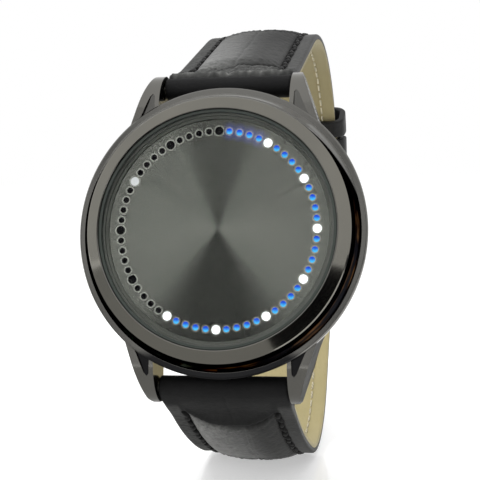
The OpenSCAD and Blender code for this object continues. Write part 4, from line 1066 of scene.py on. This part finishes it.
def build_strap(name, line, end_fold, step):
    """The top leather as one skin: under the fold, round the bar, over the top, and round any far bar."""

    def folded(start, end):
        return [cross_row(line, s, lambda x: -(HALF_T + swell(line, s)))
                for s in reversed(frange(start, end, FOLD_STEP))]

    def rolled(s, start, bulge):
        """Rows round a bar, from start degrees through half a turn."""
        rows = []
        for k in range(1, ROLL_STEPS):
            radius = HALF_T + swell(line, s) + bulge * math.sin(math.pi * k / ROLL_STEPS)
            rows.append(cross_row(line, s, lambda x: radius, math.radians(start - 180 * k / ROLL_STEPS)))
        return rows

    samples = frange(0.0, line.end, step)
    rows = folded(0.0, FOLD) + rolled(0.0, -90, 0.08)
    first_top = len(rows)
    rows += [cross_row(line, s, lambda x: upper_face(line, s, x)) for s in samples]
    if end_fold:
        rows += rolled(line.end, 90, 0.0) + folded(line.end - end_fold, line.end)
    mesh = bmesh.new()
    fields = mesh.verts.layers.float_vector.new("strap_fields")
    grid = [[mesh.verts.new(p) for p in row] for row in rows]
    tops = grid[first_top:]
    for row, s in zip(tops, samples):
        half_w = half_width(line, s)
        for j, vertex in enumerate(row):
            x = (half_w - 0.3) * max(-1.0, min(1.0, 2 * (j - 4) / COLUMNS - 1))
            vertex[fields] = strap_fields(line, s, x, half_w)
    count = len(grid[0])
    for a, b in zip(grid, grid[1:]):
        for j in range(count - 1):
            face = mesh.faces.new((a[j], a[j + 1], b[j + 1], b[j]))
            face.material_index = 1 if j < 6 or j > count - 8 else 0
    # The seat of the lining: a plain face under the top leather, with a strip down to it at each edge.
    seat = []
    for s, row in zip(samples, tops):
        if FOLD - 0.001 <= s <= line.end - end_fold + 0.001:
            half_w = half_width(line, s)
            left, right = (mesh.verts.new(line.point(s, x, SEAT_N)) for x in (-half_w, half_w))
            seat.append((left, right, row))
    for (left_a, right_a, row_a), (left_b, right_b, row_b) in zip(seat, seat[1:]):
        mesh.faces.new((left_a, left_b, right_b, right_a))
        for corners in ((row_a[0], row_b[0], left_b, left_a), (right_a, right_b, row_b[-1], row_a[-1])):
            mesh.faces.new(corners).material_index = 1
    mesh.faces.new([seat[0][0]] + grid[0][1:-1] + [seat[0][1]])
    if end_fold:
        mesh.faces.new([seat[-1][1]] + grid[-1][1:-1][::-1] + [seat[-1][0]])
    bmesh.ops.remove_doubles(mesh, verts=mesh.verts[:], dist=0.0015 * MM)
    bmesh.ops.holes_fill(mesh, edges=[e for e in mesh.edges if e.is_boundary], sides=0)
    return skinned(name, mesh)


def build_lining(name, line, end):
    """The lining: a flat tan strip with rounded edges, its wearing side a little pillowed."""
    mesh = bmesh.new()
    columns = 44
    rings = []
    low, high = -HALF_T, -0.11
    for s in frange(FOLD + 0.02, end - 0.02, 0.5):
        w = half_width(line, s) - 0.02
        corner = min(0.3, w * 0.4)
        side = [(w, high), (w, low + corner), (w - corner * 0.3, low + corner * 0.3), (w - corner, low)]
        ring = [(-x, n) for x, n in side]
        for j in range(1, columns):
            x = -w + corner + (2 * w - 2 * corner) * j / columns
            groove = 0.10 * dent(abs(x) - (w - STITCH_IN), 0.35)
            ring.append((x, low + 0.015 * wave(x * 0.3, s * 0.2, 3) + groove))
        rings.append([mesh.verts.new(line.point(s, x, n)) for x, n in ring + side[::-1]])
    sleeve(mesh, rings)
    mesh.faces.new(rings[0][::-1])
    mesh.faces.new(rings[-1])
    piece = skinned(name, mesh)
    smoothed(piece, 40)
    return piece


def hole_cutters():
    """The tail's buckle holes, as one row of pins."""
    pins = []
    for k in range(7):
        s = HOLE_S - HOLE_PITCH * k
        alone()
        bpy.ops.mesh.primitive_cylinder_add(vertices=32, radius=HOLE_R * MM, depth=8 * MM)
        pin = bpy.context.object
        centre = LONG.point(s, 0, 0)
        axis = (LONG.point(s, 0, 1) - centre).normalized()
        pin.matrix_world = Matrix.Translation(centre) @ axis.to_track_quat("Z", "Y").to_matrix().to_4x4()
        pins.append(pin)
    alone(*pins)
    bpy.ops.object.join()
    return pins[0]


def slot_cutter():
    """A cutter at the buckle bar, in the strap's middle. It is far smaller than the tang: it opens no slot."""
    alone()
    bpy.ops.mesh.primitive_cube_add(size=1, scale=SLOT_SIZE)
    block = bpy.context.object
    s = SHORT.end
    centre = SHORT.point(s, 0, 0)
    ahead = (SHORT.point(s, 0, 0, 1) - centre).normalized()
    up = (SHORT.point(s, 0, 1) - centre).normalized()
    block.matrix_world = axes_at(centre, ahead.cross(up), ahead, up) @ Matrix.Diagonal((*SLOT_SIZE, 1))
    return block


short_top = build_strap("short_strap_top", SHORT, BUCKLE_FOLD, 0.21)
long_top = build_strap("long_strap_top", LONG, 0.0, 0.24)
short_lining = build_lining("short_strap_inside", SHORT, SHORT.end - BUCKLE_FOLD)
long_lining = build_lining("long_strap_inside", LONG, LONG.end)
pins = hole_cutters()
holed(long_top, pins)
holed(long_lining, pins)
bpy.data.objects.remove(pins)
slot = slot_cutter()
holed(short_top, slot)
bpy.data.objects.remove(slot)
for piece, body in ((short_top, "short_strap"), (long_top, "long_strap")):
    finished(piece, body, "black_leather", [body + "_leather", body + "_padding"],
             [FINISHES["black_leather"], EDGE_PAINT])
for piece, body in ((short_lining, "short_strap"), (long_lining, "long_strap")):
    finished(piece, body, "tan_leather", [body + "_lining"])


# Stitches

STITCH_START = 7.45
STITCH_PITCH = 2.3


def bead(length, thickness):
    """One stitch: a round bead of thread drawn out along the seam."""
    alone()
    bpy.ops.mesh.primitive_uv_sphere_add(segments=10, ring_count=8, radius=thickness / 2 * MM)
    piece = bpy.context.object
    bpy.ops.object.mode_set(mode="EDIT")
    for side in (1, -1):
        mesh = bmesh.from_edit_mesh(piece.data)
        bpy.ops.mesh.select_all(action="DESELECT")
        for vertex in mesh.verts:
            vertex.select_set(vertex.co.z * side > 0.01 * MM)
        bmesh.update_edit_mesh(piece.data)
        bpy.ops.transform.translate(value=(0, 0, side * (length - thickness) / 2 * MM))
    bpy.ops.object.mode_set(mode="OBJECT")
    alone(piece)
    bpy.ops.object.shade_smooth()
    return piece


def seam(name, line, end, sample, face, slant):
    """Both rows of stitches on one face of a strap piece."""
    copies = []
    count = int((end - STITCH_START) / STITCH_PITCH)
    for side in (-1, 1):
        for k in range(count + 1):
            s = STITCH_START + STITCH_PITCH * k
            x = side * (half_width(line, s) - STITCH_IN)
            lift = upper_face(line, s, x) + 0.10 if face == "top" else -HALF_T - 0.02
            here = line.point(s, x, lift)
            ahead = (line.point(s + 0.5, x, lift) - here).normalized()
            across = (line.point(s, x + 1, lift) - here).normalized()
            outward = (line.point(s, x, lift + 1) - here).normalized()
            along = (ahead + across * (slant * side * (1.0 if k % 2 else -0.5))).normalized()
            third = outward.cross(along).normalized()
            copies.append(transformed_copy(sample, axes_at(here, third, outward, along)))
    alone(*copies)
    bpy.ops.object.join()
    copies[0].name = name
    return copies[0]


STITCHED = (("short_strap", SHORT, SHORT.end - 8.5), ("long_strap", LONG, LONG.end - 12))
thick = bead(length=2.5, thickness=1.0)
fine = bead(length=1.7, thickness=0.42)
seams = {body: seam(body + "_seam", line, end, thick, "top", 0.30) for body, line, end in STITCHED}
backs = {body: seam(body + "_back_seam", line, end, fine, "back", 0.0) for body, line, end in STITCHED}
bpy.data.objects.remove(thick)
bpy.data.objects.remove(fine)
for body, piece in seams.items():
    finished(piece, body, "black_thread", [body + "_stitching"])
for body, piece in backs.items():
    finished(piece, body, "tan_leather", materials=[TAN_THREAD])


# Keepers

KEEPER_HALF_W = 11.2
KEEPER_TOP_R = 21.95
KEEPER_T = 1.3


def oblong(half_a, half_b, corner, steps, spacing):
    """A rounded oblong's points (a, b, outwards along a, outwards along b), its straights cut by spacing."""
    ring = []
    for start, side_a, side_b in ((0, 1, 1), (90, -1, 1), (180, -1, -1), (270, 1, -1)):
        for k in range(steps + 1):
            angle = math.radians(start + 90 * k / steps)
            out_a, out_b = math.cos(angle), math.sin(angle)
            a = side_a * (half_a - corner) + corner * out_a
            b = side_b * (half_b - corner) + corner * out_b
            ring.append((a, b, out_a, out_b))
    points = []
    for p, q in zip(ring, ring[1:] + ring[:1]):
        count = max(1, round(math.hypot(q[0] - p[0], q[1] - p[1]) / spacing))
        points += [tuple(a + (b - a) * k / count for a, b in zip(p, q)) for k in range(count)]
    return points


def keeper(name, inner_r, start, end):
    """A leather loop bent round the two straps: a rounded band carried round a rounded oblong."""
    middle_r = (inner_r + KEEPER_TOP_R) / 2
    middle = math.radians((start + end) / 2)
    span = math.radians(end - start) * middle_r
    band = oblong(span / 2, KEEPER_T / 2, corner=0.35, steps=3, spacing=0.7)
    loop = oblong(KEEPER_HALF_W, (KEEPER_TOP_R - inner_r) / 2, corner=1.6, steps=8, spacing=0.8)
    mesh = bmesh.new()
    rings = []
    for x, r, out_x, out_r in loop:
        ring = []
        for w, t, _, _ in band:
            phi = middle + w / middle_r
            radius = middle_r + r + out_r * (t + KEEPER_T / 2)
            y = CORNER[0] + radius * math.cos(phi)
            z = CORNER[1] + radius * math.sin(phi)
            corner = BENCH_TO_WATCH @ (Vector((x + out_x * (t + KEEPER_T / 2), z, -y)) * MM)
            ring.append(mesh.verts.new(corner))
        rings.append(ring)
    sleeve(mesh, rings + rings[:1])
    return skinned(name, mesh)


fixed = keeper("fixed_keeper_loop", 15.98, 7.6, 20.6)
finished(fixed, "short_strap", "keeper_leather", ["fixed_keeper"])
free = keeper("free_keeper_loop", 15.65, 23.1, 37.1)
finished(free, "free_keeper", "keeper_leather", ["free_keeper"])


# Buckle and spring bars, from their own solids

def dressed_copy(node, body, slot, angle):
    """A merged copy of a CAD part with its curves shaded smooth."""
    copy = placed(node + "_dressed", nodes[node].data.copy())
    alone(copy)
    edit_all()
    bpy.ops.mesh.remove_doubles(threshold=0.002 * MM)
    bpy.ops.mesh.tris_convert_to_quads(face_threshold=math.radians(2), shape_threshold=math.radians(60))
    bpy.ops.object.mode_set(mode="OBJECT")
    smoothed(copy, angle)
    finished(copy, body, slot, [node])


dressed_copy("buckle_frame", "buckle_frame", "buckle_steel", 32)
dressed_copy("buckle_tang", "buckle_tang", "buckle_steel", 32)
for node, body in (("upper_bar_tube", "head"), ("lower_bar_tube", "head"), ("buckle_bar_tube", "short_strap")):
    dressed_copy(node, body, "steel", 35)

# CAD nodes take the finish of their slot. Those that aren't named here are steel.
NODES_OF = {
    "crystal_glass": ["crystal"], "seal_rubber": ["crystal_gasket", "case_back_seal"],
    "black_plastic": ["inner_ring", "light_mask", "works_holder"], "dial_metal": ["dial_plate"],
    "clear_plastic": ["hour_windows"], "blue_plastic": ["minute_windows"], "film": ["touch_film"],
    "board": ["circuit_board"], "lamp": ["hour_leds", "minute_leds"], "chip": ["controller_chip"],
    "cell_steel": ["quartz_can", "front_cell", "rear_cell"], "ceramic": ["capacitors"],
    "contact_metal": ["battery_contact", "battery_clip"], "back_steel": ["case_back"],
    "pad_felt": ["short_strap_padding", "long_strap_padding"], "dark_steel": ["bezel", "case_middle"],
    "keeper_leather": ["fixed_keeper", "free_keeper"],
    "black_leather": ["short_strap_leather", "long_strap_leather"],
    "tan_leather": ["short_strap_lining", "long_strap_lining"],
    "black_thread": ["short_strap_stitching", "long_strap_stitching"],
    "buckle_steel": ["buckle_frame", "buckle_tang"],
}
SLOT_OF = {node: slot for slot, group in NODES_OF.items() for node in group}
for name, node in nodes.items():
    material = FINISHES[SLOT_OF.get(name, "steel")]
    if node.data.materials:
        for i in range(len(node.data.materials)):
            node.data.materials[i] = material
    else:
        node.data.materials.append(material)


# Stage, lights and camera

def seen_directly(tree):
    """1 on rays from the camera, a mirror or a clear piece, 0 on the rays that carry soft light."""
    path = tree.nodes.new("ShaderNodeLightPath")
    level = path.outputs["Is Camera Ray"]
    for other in ("Is Glossy Ray", "Is Transmission Ray"):
        both = tree.nodes.new("ShaderNodeMath")
        both.operation = "MAXIMUM"
        tree.links.new(level, both.inputs[0])
        tree.links.new(path.outputs[other], both.inputs[1])
        level = both.outputs[0]
    return level


def stage_finish(name):
    """A finish for the stage: no shine of its own, with light in its Emission Color."""
    return Finish(name, Roughness=0.9, Specular_IOR_Level=0.0, Emission_Strength=1.0)


def floor_finish():
    """White studio floor, glossy enough for a faint mirror image, with the watch's shadow left on it."""
    finish = stage_finish("floor_finish")
    speck = finish.noise(finish.place(), 40)
    level = Value(finish, seen_directly(finish.tree))
    finish.wear(Base_Color=finish.mix(speck, (0.80, 0.80, 0.80), (0.84, 0.84, 0.84)),
                Emission_Color=finish.mix(level, (0, 0, 0), (0.50, 0.50, 0.50)))
    mirror = finish.node("ShaderNodeBsdfGlossy", {}, {"Roughness": 0.03})
    return finish.blend(0.12 + 0.02 * speck, Value(finish, finish.shader.outputs[0]), mirror)


FLOOR_Z = -44.85 * MM
alone()
bpy.ops.mesh.primitive_circle_add(vertices=96, radius=1.6, fill_type="NGON", location=(0, 0.03, FLOOR_Z))
floor = bpy.context.object
bpy.ops.object.transform_apply(location=True)
floor.name = "studio_floor"
floor.data.materials.append(floor_finish())


def card(name, corners, dark, light):
    """A card that only mirrors see, as a photographer sets beside polished metal. It is clear from behind."""
    data = bpy.data.meshes.new(name)
    data.from_pydata([Vector(c) * MM for c in corners], [], [tuple(range(len(corners)))])
    piece = placed(name, data)
    piece.visible_camera = False
    piece.visible_diffuse = False
    piece.visible_shadow = False
    piece.visible_transmission = False
    finish = stage_finish(name + "_finish")
    cloud = finish.noise(finish.place(), 30, 3, 0.6)
    finish.wear(Base_Color=(0, 0, 0, 1), Emission_Color=finish.mix(cloud, dark, light))
    back = finish.node("ShaderNodeNewGeometry", {}, {}, "Backfacing")
    clear = finish.node("ShaderNodeBsdfTransparent", {}, {})
    data.materials.append(finish.blend(back, Value(finish, finish.shader.outputs[0]), clear))


INK = (0.002, 0.002, 0.003)
SOOT = (0.010, 0.011, 0.012)
GREY = (0.54, 0.54, 0.53)
PALE = (0.62, 0.62, 0.61)
# Two cards in front leave a gap that the dial mirrors, so the brushing shows pale at the sides and dark at
# 12 and 6. Each has a notch at half its height, so that the case's ledge and the dial's sides stay pale.
FRONT_Y = -620
card("front_left_card", [(x, FRONT_Y, z) for x, z in (
    (-1250, 15), (-1250, 340), (-206, 340), (-206, 276), (-285, 262), (-285, 176), (-206, 162), (-206, 15))],
    INK, SOOT)
card("front_right_card", [(x, FRONT_Y, z) for x, z in (
    (-54, 15), (-54, 165), (5, 182), (5, 258), (-54, 274), (-54, 340), (760, 340), (760, 15))], INK, SOOT)
# A black card on the floor darkens the band between 4 and 5, and grey ones tone down the rest of the polish.
card("floor_card_right", [(x, y, -44.5) for x, y in (
    (20, -300), (700, -300), (700, -66), (120, -66), (60, -46), (28, -37), (20, -37))], INK, SOOT)
card("floor_card_left", [(x, y, -44.6) for x, y in (
    (-520, -340), (20, -340), (20, 30), (-520, 30))], GREY, PALE)
card("left_card", [(-640, 560, -44), (-640, -560, -44), (-640, -560, 620), (-640, 560, 620)], GREY, PALE)
card("right_card", [(640, -200, -44), (640, 560, -44), (640, 560, 420), (640, -200, 420)], GREY, PALE)


def area(name, place, aim, size, power):
    data = bpy.data.lights.new(name, "AREA")
    data.shape = "RECTANGLE"
    data.size, data.size_y = size
    data.energy = power
    lamp = placed(name, data)
    lamp.location = place
    lamp.rotation_euler = (Vector(aim) - Vector(place)).to_track_quat("-Z", "Y").to_euler()
    lamp.visible_glossy = False


area("top_softbox", (-0.10, -0.20, 0.75), (0, 0.02, 0), (0.7, 0.5), 6.0)
area("side_softbox", (-0.75, -0.25, 0.25), (0, 0, 0), (0.4, 0.5), 1.6)

# The world is white where it is seen, and greyer as a source of soft light.
world = bpy.data.worlds.new("studio_world")
bpy.context.scene.world = world
world.use_nodes = True
tree = world.node_tree
level = tree.nodes.new("ShaderNodeMix")
level.data_type = "RGBA"
level.inputs[6].default_value = (0.62, 0.62, 0.62, 1)
level.inputs[7].default_value = (1, 1, 1, 1)
tree.links.new(seen_directly(tree), level.inputs[0])
tree.links.new(level.outputs[2], tree.nodes["Background"].inputs["Color"])

# The camera that was fitted to the photograph: focal length in pixels of its width, aim, roll and place
PHOTO_W = 480
FOCAL = 1221.43
SENSOR_W = 36
scene = bpy.context.scene
scene.view_settings.view_transform = "Standard"
camera_data = bpy.data.cameras.new("photo_camera")
camera_data.lens = FOCAL * SENSOR_W / PHOTO_W
camera_data.sensor_width = SENSOR_W
camera_data.clip_start = 0.01
camera_data.clip_end = 10
camera = placed("photo_camera", camera_data)
look = Vector((-0.18379, 0.97942, -0.08342)).normalized()
up = Vector((-0.00175, 0.08454, 0.99642))
up = (up - look * up.dot(look)).normalized()
right = look.cross(up)
roll = math.radians(-0.6)
right, up = math.cos(roll) * right + math.sin(roll) * up, math.cos(roll) * up - math.sin(roll) * right
camera.matrix_world = axes_at(Vector((39.59, -201.02, 16.56)) * MM, right, up, -look)
scene.camera = camera
